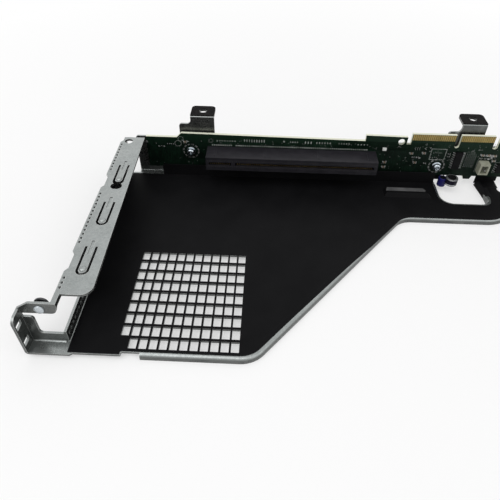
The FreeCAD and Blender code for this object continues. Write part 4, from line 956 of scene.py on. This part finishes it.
def build_film_ends():
    """Film that laps over the cut-out's right rim and the wall's foot beside the cut-out."""
    bm = bmesh.new()
    rim = [(CUTOUT_RIGHT, y, -1, 0) for y in (108.0, 112.0, 116.0, 119.0, 122.8)]
    rows = sweep_strip(bm, rim, [(-1.5, 0.34), (-0.1, 0.4), (0.45, 0.28), (0.72, -0.3),
                                 (0.85, -1.5), (0.9, -2.7)])
    for row, flare in zip(rows, (0.3, 0.8, 1.2, 1.6, 2.0)):
        for k, vert in enumerate(row[2:]):
            vert.co.x -= flare * MM * (0.5 + 0.2 * k)
    bmesh.ops.solidify(bm, geom=bm.faces[:], thickness=0.12 * MM)
    finish_piece("film_right_rim", bm, [LOOKS["black_film"]], smooth=True)
    near, far = WALL_FILM
    bm = bmesh.new()
    add_block(bm, (192.6, 116.0, 0.2), (200.4, 122.9, 0.42))
    add_block(bm, (CUTOUT_RIGHT, near, FILM_TOP), (201.2, far, WALL_FILM_TOP))
    add_block(bm, (189.8, near, -1.4), (CUTOUT_RIGHT, far, WALL_FILM_TOP))
    soften(bm, 0.08, 2)
    finish_piece("film_right_end", bm, [LOOKS["black_film"]])
    bm = bmesh.new()
    add_block(bm, (156.0, near, FILM_TOP), (170.2, far, WALL_FILM_TOP))
    soften(bm, 0.1, 2)
    finish_piece("film_left_end", bm, [LOOKS["black_film"]])


build_fingers()
build_silk()
build_pads()
build_traces()
build_vias()
build_part_ends()
build_slot()
build_slot_springs()
build_solder()
build_screws()
build_guide_pin()
build_tongue_domes()
build_header()
build_can("small_can", "capacitor_small", 170.3, 118.2, -0.2, 2.2, 4.9, "blue_sleeve",
          0)
build_can("large_can", "capacitor_large", 174.6, 116.8, 1.9, 3.3, 4.0, "violet_sleeve",
          1)
build_rib_crown()
build_bends()
build_film_margin()
build_film_ends()


# Floor, light and camera

def build_stage():
    """A plain pale floor that keeps the object's shadow and is seen as white further out."""
    mesh = bpy.data.meshes.new("floor")
    half = 3.0
    mesh.from_pydata([(-half, -half, 0), (half, -half, 0), (half, half, 0), (-half, half, 0)], [],
                     [(0, 1, 2, 3)])
    floor = bpy.data.objects.new("floor", mesh)
    bpy.context.scene.collection.objects.link(floor)
    material = new_material("pale_floor")
    g = Graph(material)
    shader = g.add("ShaderNodeBsdfPrincipled")
    shader.inputs["Base Color"].default_value = (0.93, 0.93, 0.93, 1)
    shader.inputs["Roughness"].default_value = 0.8
    away = g.add("ShaderNodeVectorMath", operation="LENGTH")
    g.link(g.position(), away.inputs[0])
    near_white, near, far = 0.4, 0.14, 0.4
    whiteness = g.span(away.outputs["Value"], near_white, 1.0, near, far)
    white = g.add("ShaderNodeEmission")
    white.inputs["Strength"].default_value = 1.0
    blend = g.add("ShaderNodeMixShader")
    g.link(g.math("MULTIPLY", whiteness, g.seen()), blend.inputs["Fac"])
    g.link(shader.outputs["BSDF"], blend.inputs[1])
    g.link(white.outputs["Emission"], blend.inputs[2])
    output = g.add("ShaderNodeOutputMaterial")
    g.link(blend.outputs["Shader"], output.inputs["Surface"])
    mesh.materials.append(material)


def build_world():
    """Soft light from all round, behind which the background is white."""
    world = bpy.data.worlds.new("studio")
    bpy.context.scene.world = world
    world.use_nodes = True
    world.node_tree.nodes.clear()
    g = Graph(world)
    light = g.add("ShaderNodeBackground")
    light.inputs["Color"].default_value = (1, 1, 1, 1)
    light.inputs["Strength"].default_value = 0.55
    white = g.add("ShaderNodeBackground")
    white.inputs["Color"].default_value = (1, 1, 1, 1)
    white.inputs["Strength"].default_value = 1.0
    blend = g.add("ShaderNodeMixShader")
    g.link(g.seen(), blend.inputs["Fac"])
    g.link(light.outputs["Background"], blend.inputs[1])
    g.link(white.outputs["Background"], blend.inputs[2])
    output = g.add("ShaderNodeOutputWorld")
    g.link(blend.outputs["Shader"], output.inputs["Surface"])


def area_light(name, place, size, power):
    """A rectangular lamp that looks at the object's middle."""
    data = bpy.data.lights.new(name, "AREA")
    data.shape = "RECTANGLE"
    data.size = size[0]
    data.size_y = size[1]
    data.energy = power
    lamp = bpy.data.objects.new(name, data)
    bpy.context.scene.collection.objects.link(lamp)
    lamp.location = place
    lamp.rotation_euler = (-Vector(place)).to_track_quat("-Z", "Y").to_euler()


def build_camera():
    """The photograph's viewpoint: position, axes and lens."""
    data = bpy.data.cameras.new("camera")
    data.sensor_width = 36.0
    data.lens = 35.18
    data.clip_start = 0.01
    data.clip_end = 20
    camera = bpy.data.objects.new("camera", data)
    bpy.context.scene.collection.objects.link(camera)
    right = Vector((0.99897679, 0.04417784, 0.00967905))
    down = Vector((0.03760885, -0.69261652, -0.72032487))
    forward = Vector((-0.02511853, 0.71995185, -0.69356931))
    matrix = Matrix((right, -down, -forward)).transposed().to_4x4()
    matrix.translation = Vector((-26.88, -170.95, 161.88)) * MM
    camera.matrix_world = matrix
    bpy.context.scene.camera = camera


build_stage()
build_world()
area_light("key", (-0.45, -0.35, 1.1), (1.3, 1.3), 7.4)
area_light("fill", (0.8, -0.6, 0.8), (1.2, 1.2), 3.0)
area_light("back", (0.1, 0.9, 0.9), (1.4, 1.0), 1.3)
build_camera()

bpy.context.scene.view_settings.view_transform = "Standard"
